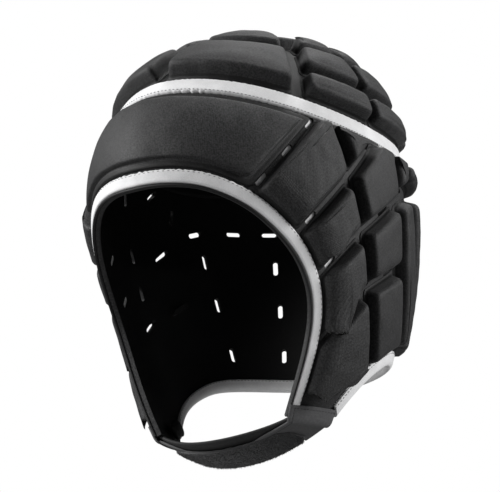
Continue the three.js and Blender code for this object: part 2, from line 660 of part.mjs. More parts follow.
// Strap tabs: a cloth tongue sewn over each flap's end and the strap below it
const TAB_SWAY = 52;
function strapTab(side) {
  const flapRow = (drop, height) => steps(FLAP_COLUMNS).map((share) => {
    const turn = THREE.MathUtils.lerp(FACE_EDGE.at(-1).turn, NAPE_EDGE[0].turn, share);
    return place(side * turn, drop, WALL + SEAT + height);
  });
  const lift = strapTop + SEAT;
  const strapRow = (sway, height) => steps(FLAP_COLUMNS).map((share) => strapSpot(side * sway, share, lift + height));
  const sheet = (height) => [
    flapRow(EAR_DROP - TAB_LAP, height),
    flapRow(EAR_DROP, height),
    ...steps(4).map((share) => strapRow(THREE.MathUtils.lerp(80, TAB_SWAY, share), height)),
  ];
  return slab(sheet(TAB_THICKNESS), sheet(0));
}
add('left_strap_tab', strapTab(1), CLOTH);
add('right_strap_tab', strapTab(-1), CLOTH);

// Pile patch: the fuzzy half of the touch fastener, along the rear of the strap's outside
const PILE_FRONT = 0.25;
const pileGap = deg(CLEARANCE / STRAP_WIDTH) + 1;
const pileSways = steps(18).map((share) => THREE.MathUtils.lerp(pileGap - TAB_SWAY, TAB_SWAY - pileGap, share));
const pileShares = () => [PILE_FRONT, (1 + PILE_FRONT) / 2, 1];
add('pile_patch', slab(
  strapLayer(pileSways, pileShares, strapTop + SEAT + PILE_THICKNESS),
  strapLayer(pileSways, pileShares, strapTop + SEAT),
), PILE);

export default cap;
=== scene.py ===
# A padded scrum cap: black knitted cloth over foam pads, light tapes and a fastened chin strap.
# Metres, +Z up, the face towards -Y and the wearer's left towards +X. The cap's own sizes are
# worked out in millimetres and turned into metres as each mesh is made.
import bpy
import bmesh
import numpy as np
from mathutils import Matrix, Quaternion, Vector


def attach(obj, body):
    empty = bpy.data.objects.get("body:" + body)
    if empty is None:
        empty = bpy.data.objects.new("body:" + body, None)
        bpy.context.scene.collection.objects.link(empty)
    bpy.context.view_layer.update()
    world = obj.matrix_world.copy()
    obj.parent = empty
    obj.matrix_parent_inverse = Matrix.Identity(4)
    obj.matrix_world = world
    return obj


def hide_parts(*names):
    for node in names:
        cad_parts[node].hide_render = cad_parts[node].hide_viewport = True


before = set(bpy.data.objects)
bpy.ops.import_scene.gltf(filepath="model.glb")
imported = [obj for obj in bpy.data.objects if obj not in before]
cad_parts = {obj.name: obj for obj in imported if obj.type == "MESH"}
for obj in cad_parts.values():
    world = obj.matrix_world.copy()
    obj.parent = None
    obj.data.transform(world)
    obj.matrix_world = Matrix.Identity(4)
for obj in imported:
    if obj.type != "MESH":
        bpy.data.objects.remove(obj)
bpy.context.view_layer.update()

# Studio: a long lens looks up at the cap from below its left front. Large soft lights stand at the
# wearer's left, before the right side, above the back and low before the face.
scene = bpy.context.scene
scene.view_settings.view_transform = "Standard"
WIDEST_MIDDLE = Vector((0, -0.019, -0.091))
FOCAL_LENGTH, SHIFT_ACROSS, SHIFT_UP = 161.6, 0.002, -0.0637
VIEW_AZIMUTH, VIEW_ELEVATION, VIEW_DISTANCE, VIEW_ROLL = 38.75, -16.3, 1.228, 0.11


def direction(azimuth, elevation):
    """The unit vector at an azimuth from the front towards the wearer's left, and an elevation."""
    azimuth, elevation = np.radians([azimuth, elevation])
    level = np.cos(elevation)
    return Vector((np.sin(azimuth) * level, -np.cos(azimuth) * level, np.sin(elevation)))


lens = bpy.data.cameras.new("camera")
lens.sensor_width = 36
lens.lens = FOCAL_LENGTH
lens.shift_x = SHIFT_ACROSS
lens.shift_y = SHIFT_UP
camera = bpy.data.objects.new("camera", lens)
sight = direction(VIEW_AZIMUTH, VIEW_ELEVATION)
camera.location = WIDEST_MIDDLE + VIEW_DISTANCE * sight
camera.rotation_mode = "QUATERNION"
roll = Quaternion((0, 0, 1), np.radians(VIEW_ROLL))
camera.rotation_quaternion = sight.to_track_quat("Z", "Y") @ roll
scene.collection.objects.link(camera)
scene.camera = camera

LIGHTS = (
    # name, azimuth, elevation, distance, side, power in watts
    ("left_light", 116, 22, 1.9, 0.7, 46),
    ("front_light", -48, 26, 1.9, 0.7, 52),
    ("top_light", 170, 74, 1.9, 0.6, 24),
    ("face_light", -14, 3, 1.9, 0.7, 15),
)
for name, azimuth, elevation, distance, side, power in LIGHTS:
    lamp = bpy.data.lights.new(name, "AREA")
    lamp.size = side
    lamp.energy = power
    light = bpy.data.objects.new(name, lamp)
    away = direction(azimuth, elevation)
    light.location = WIDEST_MIDDLE + distance * away
    light.rotation_mode = "QUATERNION"
    light.rotation_quaternion = away.to_track_quat("Z", "Y")
    scene.collection.objects.link(light)

sky = bpy.data.worlds.new("studio_air")
sky.use_nodes = True
scene.world = sky
air = sky.node_tree
dim = air.nodes["Background"]
dim.inputs["Color"].default_value = (1, 1, 1, 1)
dim.inputs["Strength"].default_value = 0.06
white = air.nodes.new("ShaderNodeBackground")
white.inputs["Color"].default_value = (1, 1, 1, 1)
seen = air.nodes.new("ShaderNodeLightPath")
either = air.nodes.new("ShaderNodeMixShader")
air.links.new(seen.outputs["Is Camera Ray"], either.inputs["Fac"])
air.links.new(dim.outputs[0], either.inputs[1])
air.links.new(white.outputs[0], either.inputs[2])
air.links.new(either.outputs[0], air.nodes["World Output"].inputs["Surface"])

FLOOR_LEVEL = -0.8
floor_mesh = bpy.data.meshes.new("floor")
corners = [(x, y, FLOOR_LEVEL) for x, y in ((-4, -4), (4, -4), (4, 4), (-4, 4))]
floor_mesh.from_pydata(corners, [], [(0, 1, 2, 3)])
floor = bpy.data.objects.new("floor", floor_mesh)
scene.collection.objects.link(floor)
paint = bpy.data.materials.new("pale_floor")
paint.use_nodes = True
shader = paint.node_tree.nodes["Principled BSDF"]
shader.inputs["Base Color"].default_value = (0.25, 0.25, 0.25, 1)
shader.inputs["Roughness"].default_value = 0.9
floor_mesh.materials.append(paint)

# Band shell: the 3 mm foam wall round the head with both ear flaps, black knit outside and a
# smoother black lining inside, painted darker than the knit as painted shade. The vent slots are
# punched through it along the grooves.
INNER_WIDTH, FRONT_REACH, BACK_REACH, CROWN_HEIGHT, CROWN_SETBACK, EAR_DROP = 153, 93, 89, 91, 19, 120
WALL = 3
CROWN_ARC = CROWN_HEIGHT * np.pi / 2
MM_PER_DEGREE = (np.pi * (INNER_WIDTH + FRONT_REACH + BACK_REACH) / 2 + 2 * np.pi * WALL) / 360
FRONT_POWER, BACK_POWER = 1.81, 2.1
FRONT_FULLNESS, BACK_FULLNESS = 1, 0.7
FRONT_TAPER, BACK_TAPER = 0.4, 0.215
SEAM_LEVEL, SEAM_TILT, SEAM_WAVE = -0.265, 0.0475, 0.041


def mix(a, b, share):
    """The value at a share of the way from a to b."""
    return a + (b - a) * share


def drop_at(level):
    """Millimetres below the widest level: a share of the ear drop, or of the crown's arc above it."""
    level = np.asarray(level, float)
    return level * np.where(level < 0, CROWN_ARC, EAR_DROP)


def seam_drop(turn):
    """The crown seam's drop at a turn: it runs lower at the ears than over the forehead."""
    angle = np.radians(turn)
    return drop_at(SEAM_LEVEL - SEAM_TILT * np.cos(angle) - SEAM_WAVE * np.cos(2 * angle))


def head_point(turn, drop):
    """The head form at a turn and a drop. Each level is a superellipse. Above the widest level it
    shrinks by a power of the sine of the crown's angle and shifts back, and below it by a taper."""
    turn, drop = np.broadcast_arrays(np.asarray(turn, float), np.asarray(drop, float))
    side, ahead = np.sin(np.radians(turn)), np.cos(np.radians(turn))
    behind = (1 - ahead) / 2
    power = np.where(ahead > 0, FRONT_POWER, BACK_POWER)
    reach = np.where(ahead > 0, FRONT_REACH, BACK_REACH)
    spread = np.abs(side / (INNER_WIDTH / 2)) ** power + np.abs(ahead / reach) ** power
    angle = np.clip(1 + drop / CROWN_ARC, 0, 1) * np.pi / 2
    above = np.sin(angle) ** mix(FRONT_FULLNESS, BACK_FULLNESS, behind)
    below = 1 - mix(FRONT_TAPER, BACK_TAPER, behind ** 2) * (drop / EAR_DROP) ** 2
    radius = spread ** (-1 / power) * np.where(drop < 0, above, below)
    height = np.where(drop < 0, CROWN_HEIGHT * np.cos(angle), -drop)
    setback = np.where(drop < 0, CROWN_SETBACK * (1 - np.sin(angle)), 0)
    return np.stack([radius * side, setback - CROWN_SETBACK - radius * ahead, height - CROWN_HEIGHT], -1)


def unit(vectors):
    """Each vector divided by its length."""
    return vectors / np.linalg.norm(vectors, axis=-1, keepdims=True)


def outward(turn, drop):
    """The head form's normal: the cross product of its two half-unit differences."""
    turn, low = np.asarray(turn, float), np.maximum(drop, 1 - CROWN_ARC)
    along = head_point(turn + 0.5, low) - head_point(turn - 0.5, low)
    down = head_point(turn, low + 0.5) - head_point(turn, low - 0.5)
    return unit(np.cross(down, along))


def place(turn, drop, height):
    """The point a height off the head form, straight up where the turn has no meaning at the top."""
    turn, drop, height = np.broadcast_arrays(*(np.asarray(v, float) for v in (turn, drop, height)))
    spot = head_point(turn, drop) + height[..., None] * outward(turn, drop)
    top = np.stack([0 * height, 0 * height, height], -1)
    return np.where((drop <= 0.01 - CROWN_ARC)[..., None], top, spot)


def band_raise(chart, height):
    """A chart point of the unrolled band, in millimetres along and down, at a height off the head."""
    return place(chart[..., 0] / MM_PER_DEGREE, chart[..., 1], height)


def band_draw(turn, drop):
    """The chart point of a turn and a drop: the turn times its millimetres, and the drop."""
    return np.stack(np.broadcast_arrays(np.asarray(turn, float) * MM_PER_DEGREE, drop), -1)


def lengths(path):
    """The length along a path up to each of its points: the sum of the distances before it."""
    return np.append(0, np.cumsum(np.linalg.norm(np.diff(path, axis=0), axis=1)))


def trace(rows):
    """A Catmull-Rom curve through rows of (turn, level), as its shares of length, its points and
    its whole length."""
    knots = band_draw([turn for turn, _ in rows], drop_at([level for _, level in rows]))
    ends = np.concatenate([knots[:1], knots, knots[-1:]])
    t = np.linspace(0, len(knots) - 1, 4001)
    k = np.minimum(t.astype(int), len(knots) - 2)
    w = (t - k)[:, None]
    p0, p1, p2, p3 = (ends[k + i] for i in range(4))
    v0, v1 = (p2 - p0) / 2, (p3 - p1) / 2
    points = (2 * p1 - 2 * p2 + v0 + v1) * w ** 3 + (-3 * p1 + 3 * p2 - 2 * v0 - v1) * w ** 2 + v0 * w + p1
    length = lengths(points)
    return length / length[-1], points, length[-1]


def beside(edge, share, inset=0.0):
    """The chart point at a share of an edge's length, moved into the cloth by an inset."""
    shares, points, _ = edge
    slope = unit(np.gradient(points, axis=0))
    point = np.stack([np.interp(share, shares, points[:, i]) for i in (0, 1)], -1)
    along = unit(np.stack([np.interp(share, shares, slope[:, i]) for i in (0, 1)], -1))
    return point + np.asarray(inset)[..., None] * np.stack([along[..., 1], -along[..., 0]], -1)


FACE_EDGE = trace((
    (0, 0.076), (12, 0.076), (24, 0.1), (37, 0.17), (48, 0.265), (57, 0.37), (63, 0.485),
    (65.5, 0.6), (65.5, 0.72), (64, 0.85), (61.5, 1),
))
NAPE_EDGE = trace((
    (93, 1), (97, 0.94), (103, 0.865), (109, 0.805), (117, 0.745), (127, 0.695), (140, 0.675),
    (158, 0.677), (180, 0.695),
))


def grid(rows, columns, wrap_rows=False, wrap_columns=False):
    """The quads of a grid of points, and each quad corner's row and column before it wraps."""
    down, across = np.arange(rows - (not wrap_rows)), np.arange(columns - (not wrap_columns))
    i, j = np.meshgrid(down, across, indexing="ij")
    corner_i = np.stack([i, i, i + 1, i + 1], -1).reshape(-1, 4)
    corner_j = np.stack([j, j + 1, j + 1, j], -1).reshape(-1, 4)
    return corner_i % rows * columns + corner_j % columns, corner_i, corner_j


def cap_faces(count, first, reverse):
    """Quads over a flat loop whose first half and second half face each other."""
    k = np.arange(count // 2 - 1)
    faces = first + np.stack([k, k + 1, count - 2 - k, count - 1 - k], -1)
    return faces[:, ::-1] if reverse else faces


def volume(points, faces):
    """Six times the volume that quads close in: the sum of their triangles' triple products."""
    a, b, c, d = (points[faces[:, k]] for k in range(4))
    return np.sum(np.cross(a, b) * c) + np.sum(np.cross(a, c) * d)


def copied(faces, count, size):
    """One shape's faces for a count of shapes in a row, each with the same number of points."""
    return (np.arange(count)[:, None, None] * size + faces).reshape(-1, 4)


def piece(name, points, faces, chart, finishes, finish_of=None, sharp=None, replaces=(), slot="cloth"):
    """A closed mesh of quads from points in millimetres, turned outwards, with a UV map in
    millimetres (chart, one pair for each quad corner, or none), riding on the part's one body."""
    points = points.reshape(-1, 3)
    if chart is None:
        chart = np.zeros((faces.size, 2))
    if volume(points, faces) < 0:
        faces, chart = faces[:, ::-1], chart.reshape(-1, 4, 2)[:, ::-1]
    mesh = bpy.data.meshes.new(name)
    mesh.from_pydata((points / 1000).tolist(), [], faces.tolist())
    mesh.uv_layers.new(name="cut").data.foreach_set("uv", np.ascontiguousarray(chart, float).ravel())
    for finish in finishes:
        mesh.materials.append(finish)
    if finish_of is not None:
        mesh.polygons.foreach_set("material_index", finish_of.astype(int))
    mesh.polygons.foreach_set("use_smooth", np.ones(len(faces), bool))
    if sharp is not None:
        mesh.set_sharp_from_angle(angle=np.radians(sharp))
    mesh.update()
    body = bpy.data.objects.new(name, mesh)
    scene.collection.objects.link(body)
    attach(body, "root")
    if replaces:
        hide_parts(*replaces)
    return body


class Value:
    """An output socket of a material. Arithmetic on it adds Math nodes."""

    def __init__(self, finish, socket):
        self.finish, self.socket = finish, socket

    def __getitem__(self, name):
        return Value(self.finish, self.socket.node.outputs[name])

    def math(self, operation, *sockets):
        return self.finish.node("ShaderNodeMath", {"operation": operation}, dict(enumerate(sockets)))

    def __add__(self, other):
        return self.math("ADD", self, other)

    def __sub__(self, other):
        return self.math("SUBTRACT", self, other)

    def __rsub__(self, other):
        return self.math("SUBTRACT", other, self)

    def __mul__(self, other):
        return self.math("MULTIPLY", self, other)

    def __truediv__(self, other):
        return self.math("DIVIDE", self, other)

    __radd__, __rmul__ = __add__, __mul__

    def frac(self):
        return self.math("FRACT", self)

    def size(self):
        return self.math("ABSOLUTE", self)

    def sine(self):
        return self.math("SINE", self)

    def kept(self):
        """The value held between 0 and 1."""
        return self.math("MINIMUM", self.math("MAXIMUM", self, 0), 1)


class Finish:
    """A material on the standard shader, with the shader's plain settings given by name."""

    def __init__(self, name, **settings):
        self.material = bpy.data.materials.new(name)
        self.material.use_nodes = True
        self.nodes = self.material.node_tree.nodes
        self.shader = self.nodes["Principled BSDF"]
        for key, setting in settings.items():
            self.shader.inputs[key.replace("_", " ")].default_value = setting

    def node(self, kind, settings=None, sockets=None):
        """A node of a kind, with its settings first and then its sockets' values or links."""
        made = self.nodes.new(kind)
        for key, setting in (settings or {}).items():
            setattr(made, key, setting)
        for key, value in (sockets or {}).items():
            self.join(value, made.inputs[key])
        return Value(self, next(out for out in made.outputs if out.enabled))

    def join(self, value, socket):
        """Links a value to a socket, or sets the socket to a plain number or colour."""
        if isinstance(value, Value):
            self.material.node_tree.links.new(value.socket, socket)
        else:
            socket.default_value = value

    def cut(self):
        """The two lengths of the piece's UV map, in millimetres."""
        made = self.node("ShaderNodeUVMap", {"uv_map": "cut"})
        parts = self.node("ShaderNodeSeparateXYZ", None, {0: made})
        return parts["X"], parts["Y"]

    def noise(self, scale, detail=2.0):
        """Noise on object coordinates, with its scale in lumps a metre."""
        spot = self.node("ShaderNodeTexCoord")["Object"]
        return self.node("ShaderNodeTexNoise", None, {"Vector": spot, "Scale": scale, "Detail": detail})

    def blend(self, share, low, high):
        """The colour at a share of the way from a low colour to a high one."""
        made = self.node("ShaderNodeMix", {"data_type": "RGBA"}, {"Factor": share})
        for key, colour in (("A", low), ("B", high)):
            sockets = [s for s in made.socket.node.inputs if s.name == key and s.enabled]
            self.join((*colour, 1), sockets[0])
        return made

    def paint(self, colour):
        self.join(colour, self.shader.inputs["Base Color"])

    def relief(self, height, depth):
        """A bump whose full height is a depth in millimetres."""
        bump = self.node("ShaderNodeBump", None, {"Height": height, "Distance": depth / 1000})
        self.join(bump, self.shader.inputs["Normal"])


def knit(name, dark, light, wale=0.85, course=0.65, depth=0.08, **settings):
    """Knitted cloth: columns of small V stitches. The stitch height is a sine of the length along
    the column plus the distance from its middle, and fades towards the column's sides."""
    finish = Finish(name, Roughness=0.6, Specular_IOR_Level=0.25, **settings)
    across, along = finish.cut()
    off = ((across / wale).frac() - 0.5).size()
    loops = ((along / course + off) * (2 * np.pi)).sine() * 0.5 + 0.5
    stitch = loops * (1 - off * off * 3.2)
    patches = finish.noise(38, 3)
    specks = finish.noise(1100, 2)
    finish.paint(finish.blend((patches * 0.5 + specks * 2.2 + stitch * 0.4 - 1.1).kept(), dark, light))
    finish.relief(stitch + specks * 0.8, depth)
    return finish.material


SHEEN = {"Sheen_Weight": 0.05, "Sheen_Roughness": 0.4}
KNIT = knit("black_knit", (0.005, 0.005, 0.0052), (0.034, 0.034, 0.035), **SHEEN)
# The grooves' knit: painted shade, far darker than the pads' knit, on the groove floors and lowest walls.
GROOVE_SHADE_KNIT = knit("groove_shade_knit", (0.002, 0.002, 0.0021), (0.01, 0.01, 0.0104))
# The crown's knit: painted shade, darker than the band's knit, for the crown shell outside and the crown
# pads' grooves.
CROWN_SHADE_KNIT = knit("crown_shade_knit", (0.0025, 0.0025, 0.0026), (0.007, 0.007, 0.0072))
# The lining: black cloth painted darker still, as painted shade inside the cap and on the rim bead.
SHADED_LINING = knit("shaded_black_lining", (0.003, 0.003, 0.0033), (0.005, 0.005, 0.0055), course=1.1, depth=0.03)

FLAP_FRONT, FLAP_BACK = 92, 112
face_share, flap_share, nape_share = (np.linspace(0, 1, n) for n in (181, 21, 121))
flap_foot = mix(beside(FACE_EDGE, [1.0]), beside(NAPE_EDGE, [0.0]), flap_share[1:-1, None])
foot = np.concatenate([beside(FACE_EDGE, face_share), flap_foot, beside(NAPE_EDGE, nape_share)])
head_turn = np.concatenate([
    FLAP_FRONT * face_share, mix(FLAP_FRONT, FLAP_BACK, flap_share[1:-1]), mix(FLAP_BACK, 180, nape_share),
])
head = band_draw(head_turn, seam_drop(head_turn) + 0.1)
BAND_ROWS, LIP_ROWS = 44, 5
down = np.linspace(0, 1, BAND_ROWS)[:, None, None]
outside = mix(head, foot, down)
bend = np.linspace(0, np.pi, LIP_ROWS + 2)[1:-1, None]
lip = foot + 0.5 * np.sin(bend)[..., None] * unit(foot - head)
band_left = np.concatenate([outside, lip, outside[::-1]])
band_height = np.concatenate([
    np.full(BAND_ROWS, WALL), WALL / 2 * (1 + np.cos(bend[:, 0])), np.zeros(BAND_ROWS),
])
band_chart = np.concatenate([band_left, band_left[:, -2:0:-1] * [-1, 1]], axis=1)
rows, columns = band_chart.shape[:2]
faces, corner_i, corner_j = grid(rows, columns, True, True)
flat = band_chart[corner_i % rows, corner_j % columns]
flat[..., 0] += 360 * MM_PER_DEGREE * ((corner_j >= band_left.shape[1]) & (flat[..., 0] < -1))
lining_shade_faces = corner_i[:, 0] >= BAND_ROWS + LIP_ROWS - 1
band_points = band_raise(band_chart, band_height[:, None])
band = piece("band_shell_cloth", band_points, faces, flat, [KNIT, SHADED_LINING], lining_shade_faces, replaces=["band_shell"])

VENT_WIDTH = 2.8
BACKED_VENTS = 5
VENTS = np.array((
    # turn, level, lean of the slot in the chart, length
    (62.2, -0.2, 55, 8.5), (52.3, -0.075, 55, 8.5), (42.5, 0.048, 55, 8.5), (62, 0.19, 50, 8.5),
    (72, 0.361, 48, 8.5), (73.5, -0.12, -65, 8.5), (92.2, -0.175, 48, 8.5), (81.8, 0.114, -65, 8.5),
    (87, 0.285, -75, 8.5), (91.2, 0.437, 40, 12), (101, 0.07, 38, 12), (118, -0.06, 18, 8.5),
    (135, -0.082, 2, 8.5), (149, -0.085, 0, 8.5), (105.5, -0.11, -85, 8.5), (109, 0.323, 30, 12),
    (123, 0.057, -75, 8.5), (128.5, 0.266, -75, 8.5), (134.5, 0.513, -75, 8.5),
    (151.5, 0.067, -87, 8.5), (153.5, 0.285, -87, 8.5), (155.5, 0.513, -87, 8.5),
))


def slot_outline(length, inset=0.0):
    """A slot's outline: half circles round both ends of its straight middle, drawn in by an inset."""
    around = np.radians(np.arange(0, 360, 15) + 7.5)
    radius, straight = VENT_WIDTH / 2 - inset, (length - VENT_WIDTH) / 2
    return radius * np.cos(around) + np.sign(np.cos(around)) * straight, radius * np.sin(around)


def slot_plugs(rows, side):
    """A plug for each vent: a slot outline with round ends, run through the wall at the vent."""
    turn, drop, lean = side * rows[:, 0], drop_at(rows[:, 1]), np.radians(side * rows[:, 2])
    middle = band_draw(turn, drop)
    ahead = middle + np.stack([np.cos(lean), -np.sin(lean)], -1)
    out = outward(turn, drop)
    across = unit(np.cross(out, band_raise(ahead, 0.0) - band_raise(middle, 0.0)))
    along = np.cross(across, out)
    x, y = slot_outline(rows[:, 3:])
    ring = x[..., None] * along[:, None] + y[:, None] * across[:, None]
    centre = band_raise(middle, WALL / 2)[:, None]
    return np.stack([centre + ring + out[:, None] * rise for rise in (-5, 5)], 1)


plugs = np.concatenate([slot_plugs(VENTS, side) for side in (1, -1)])
count, _, around = plugs.shape[:3]
wall_faces = grid(2, around, False, True)[0]
one_plug = np.concatenate([wall_faces, cap_faces(around, 0, False), cap_faces(around, around, True)])
plug_faces = copied(one_plug, count, 2 * around)
plug_points = plugs.reshape(-1, 3)
cutter_mesh = bpy.data.meshes.new("vent_cutter")
if volume(plug_points, plug_faces) < 0:
    plug_faces = plug_faces[:, ::-1]
cutter_mesh.from_pydata((plug_points / 1000).tolist(), [], plug_faces.tolist())
cutter = bpy.data.objects.new("vent_cutter", cutter_mesh)
scene.collection.objects.link(cutter)


def settle(body):
    """Applies the modifiers of an object to its mesh."""
    bpy.context.view_layer.update()
    done = bpy.data.meshes.new_from_object(body.evaluated_get(bpy.context.evaluated_depsgraph_get()))
    body.modifiers.clear()
    body.data = done


punch = band.modifiers.new("vents", "BOOLEAN")
punch.operation = "DIFFERENCE"
punch.solver = "EXACT"
punch.object = cutter
settle(band)
bpy.data.objects.remove(cutter)
band.data.set_sharp_from_angle(angle=np.radians(50))

# Vent backings: cards of light tape laid in the wall behind the front five slots on each side. They
# are seen at the slots' bottoms.
BACKING_LOW, BACKING_TOP = 0.3, 1.7


def backing_points(row, side):
    """A rounded card across a slot: rings round the slot's middle at two heights in the wall."""
    turn, drop, lean = side * row[0], drop_at(row[1]), np.radians(side * row[2])
    middle = band_draw(turn, drop)
    x, y = slot_outline(row[3], 0.05)
    ring = middle + np.stack([x * np.cos(lean) + y * np.sin(lean), y * np.cos(lean) - x * np.sin(lean)], -1)
    return np.stack([band_raise(ring, BACKING_LOW), band_raise(ring, BACKING_TOP)])


backings = np.stack([backing_points(row, side) for row in VENTS[:BACKED_VENTS] for side in (1, -1)])

# Crown shell: the same foam wall over the top of the head, closed at the top and sewn to the band
# along the crown seam.
CROWN_ROWS, CROWN_COLUMNS = 60, 240
turns = np.linspace(-180, 180, CROWN_COLUMNS + 1)
rise = np.linspace(0, 1, CROWN_ROWS)[:, None]
crown_drop = mix(-CROWN_ARC, seam_drop(turns) - 0.1, rise)
sheet_points = [place(turns[:-1], crown_drop[:, :-1], height) for height in (WALL, 0)]
arc = crown_drop + CROWN_ARC
crown_flat = np.stack([arc * np.sin(np.radians(turns)), -arc * np.cos(np.radians(turns))], -1)
crown_points = np.concatenate([sheet_points[0], sheet_points[1][::-1]])
crown_flat = np.concatenate([crown_flat, crown_flat[::-1]])
faces, corner_i, corner_j = grid(2 * CROWN_ROWS, CROWN_COLUMNS, False, True)
# The crown shell's outside is painted darker than the band as painted shade; its inside is the lining.
crown = piece(
    "crown_shell_cloth", crown_points, faces, crown_flat[corner_i, corner_j], [CROWN_SHADE_KNIT, SHADED_LINING],
    corner_i[:, 0] >= CROWN_ROWS, replaces=["crown_shell"],
)
# Each sheet's top row lies on one spot, so its points are merged.
work = bmesh.new()
work.from_mesh(crown.data)
bmesh.ops.remove_doubles(work, verts=work.verts, dist=1e-6)
work.to_mesh(crown.data)
work.free()

# Crown binding: brushed light tape over the crown seam, sewn down near its lower edge with a
# row of short stitches.
TAPE_WIDTH, TAPE_TOP, TAPE_RIM = 10, 4.8, 0.25
SHELL_TOP = WALL - 0.05


def brushed(name, dark, light):
    """Brushed tape: fine noise for fibres and wide noise for patches, in colour and in relief."""
    finish = Finish(name, Roughness=0.95, Sheen_Weight=0.25, Sheen_Roughness=0.5)
    fibres = finish.noise(1900, 2)
    patches = finish.noise(160, 3)
    finish.paint(finish.blend((fibres * 0.9 + patches * 0.7 - 0.35).kept(), dark, light))
    finish.relief(fibres + patches, 0.12)
    return finish.material


TAPE = brushed("light_tape", (0.5, 0.5, 0.505), (0.72, 0.72, 0.725))
piece("vent_backings", backings, copied(one_plug, len(backings), 2 * around), None, [TAPE], slot="tape")
# The tape's thread is painted dark grey: the painted shade of the needle holes round each stitch.
SHADED_THREAD = Finish("tape_thread_shade", Roughness=0.7)
SHADED_THREAD.paint((0.2, 0.2, 0.205, 1))
STITCH_LENGTH, STITCH_THICKNESS, STITCH_STEP, STITCH_INSET = 1.3, 0.42, 2.2, 1.1
STITCH_HEIGHT = TAPE_TOP - 0.02
FRAY_WAVES, FRAY = (1.2, 6), 0.12


def wobble(length, spread, seed, amount):
    """Smooth noise along a length in millimetres: a sum of sines of seeded waves and phases."""
    draw = np.random.default_rng(seed)
    waves = draw.uniform(*spread, 24)
    phases = draw.uniform(0, 2 * np.pi, 24)
    return amount / 3 * np.sin(2 * np.pi * length[..., None] / waves + phases).sum(-1)


def tape_section(half, low, top, count=15):
    """A flat tape's section: its top as a softly rounded arch over its straight underside."""
    side = np.sin(np.linspace(-np.pi / 2, np.pi / 2, count))
    arch = (1 - side ** 8) ** 0.5
    upper = np.stack([half * side, low + TAPE_RIM + (top - low - TAPE_RIM) * arch], -1)
    lower = np.stack([half * side, np.full(count, low)], -1)
    return np.concatenate([upper, lower[::-1]])


def rim_lengths(section):
    """The length round a section at each of its points, counted from its last one."""
    return np.append(np.cumsum(np.linalg.norm(np.diff(section, axis=0), axis=1)), 0)


def run_faces(loops, count, wrap):
    """The quads of a run of loops, closed on itself or capped at both ends."""
    faces, corner_i, corner_j = grid(loops, count, wrap, True)
    if wrap:
        return faces, corner_i, corner_j
    ends = np.concatenate([cap_faces(count, 0, True), cap_faces(count, (loops - 1) * count, False)])
    return (np.concatenate([faces, ends]), np.concatenate([corner_i, ends // count]),
            np.concatenate([corner_j, ends % count]))


def run_piece(name, points, along, across, finish, **settings):
    """A piece from a run of loops, capped at both ends. Its UV map takes a length along the run and
    a length across it from each point."""
    loops, count = points.shape[:2]
    faces, corner_i, corner_j = run_faces(loops, count, False)
    flat = np.stack(np.broadcast_arrays(along, across), -1)
    chart = flat[corner_i % loops, corner_j % count]
    return piece(name, points, faces, chart, [finish], **settings)


def stitches(name, spots, along, out, length, thickness, finish, slot):
    """A row of short thread stitches: capsules set along a path, half sunk in the cloth."""
    share = np.linspace(-1, 1, 7)[:, None]
    around = np.radians(np.arange(0, 360, 60))
    girth = thickness / 2 * np.maximum(1 - np.abs(share) ** 3, 0.12)
    across = unit(np.cross(out, along))
    template = (share * length / 2, girth * np.cos(around), girth * np.sin(around))
    x, y, z = (np.broadcast_to(t, (7, 6)).reshape(-1, 1) for t in template)
    points = spots[:, None] + x * along[:, None] + y * across[:, None] + z * out[:, None]
    faces = copied(run_faces(7, 6, False)[0], len(spots), 42)
    return piece(name, points, faces, None, [finish], slot=slot)


def frames(path):
    """The unit directions along a path of points, by differences."""
    return unit(np.gradient(path, axis=0))


turns = np.linspace(0, 360, 800, endpoint=False)
section = tape_section(TAPE_WIDTH / 2, SHELL_TOP, TAPE_TOP)
length = turns * MM_PER_DEGREE
upper, lower = (wobble(length, FRAY_WAVES, seed, FRAY)[:, None] for seed in (1, 2))
offset = section[:, 0]
shift = offset + np.where(offset < 0, upper, lower) * (np.abs(offset) > 3)
points = place(turns[:, None], seam_drop(turns)[:, None] + shift, section[:, 1])
faces, corner_i, corner_j = run_faces(len(turns), len(section), True)
chart = np.stack([corner_i * length[1], rim_lengths(section)[corner_j % len(section)]], -1)
piece("crown_binding_tape", points, faces, chart, [TAPE], replaces=["crown_binding"], slot="tape")
turns = np.linspace(0, 360, 240, endpoint=False)
row = place(turns, seam_drop(turns) + TAPE_WIDTH / 2 - STITCH_INSET, STITCH_HEIGHT)
out = outward(turns, seam_drop(turns))
stitches(
    "crown_binding_stitches", row, frames(row), out, STITCH_LENGTH, STITCH_THICKNESS,
    SHADED_THREAD.material, "tape",
)

# Face binding: the same tape laid flat along the edge of the face opening, outside only, with its
# stitches near its outer edge.
EDGE_WIDTH, EDGE_INSET = 7, 1.2


def edge_run(edge, start, stop, section, name, node, seed, from_middle):
    """A tape run along an edge of the band from ear flap to ear flap. Each section point is an
    inset from the edge and a height, and its free rim is frayed by smooth noise."""
    half = np.linspace(start, stop, 360)
    flat = beside(edge, half[:, None], section[:, 0])
    rim = section[:, 0] > section[:, 0].max() - 0.6
    flat[..., 1] += np.where(rim, wobble(half * edge[2], FRAY_WAVES, seed, FRAY)[:, None], 0)
    left = band_raise(flat, section[:, 1])
    right = band_raise(flat * [-1, 1], section[:, 1])
    if from_middle:
        left, right = left[::-1], right[::-1]
    points = np.concatenate([left, right[-2::-1]])
    steps = lengths(points.mean(1))[:, None]
    settings = {"sharp": 60, "replaces": [node], "slot": "tape"}
    return run_piece(name, points, steps, rim_lengths(section), TAPE, **settings)


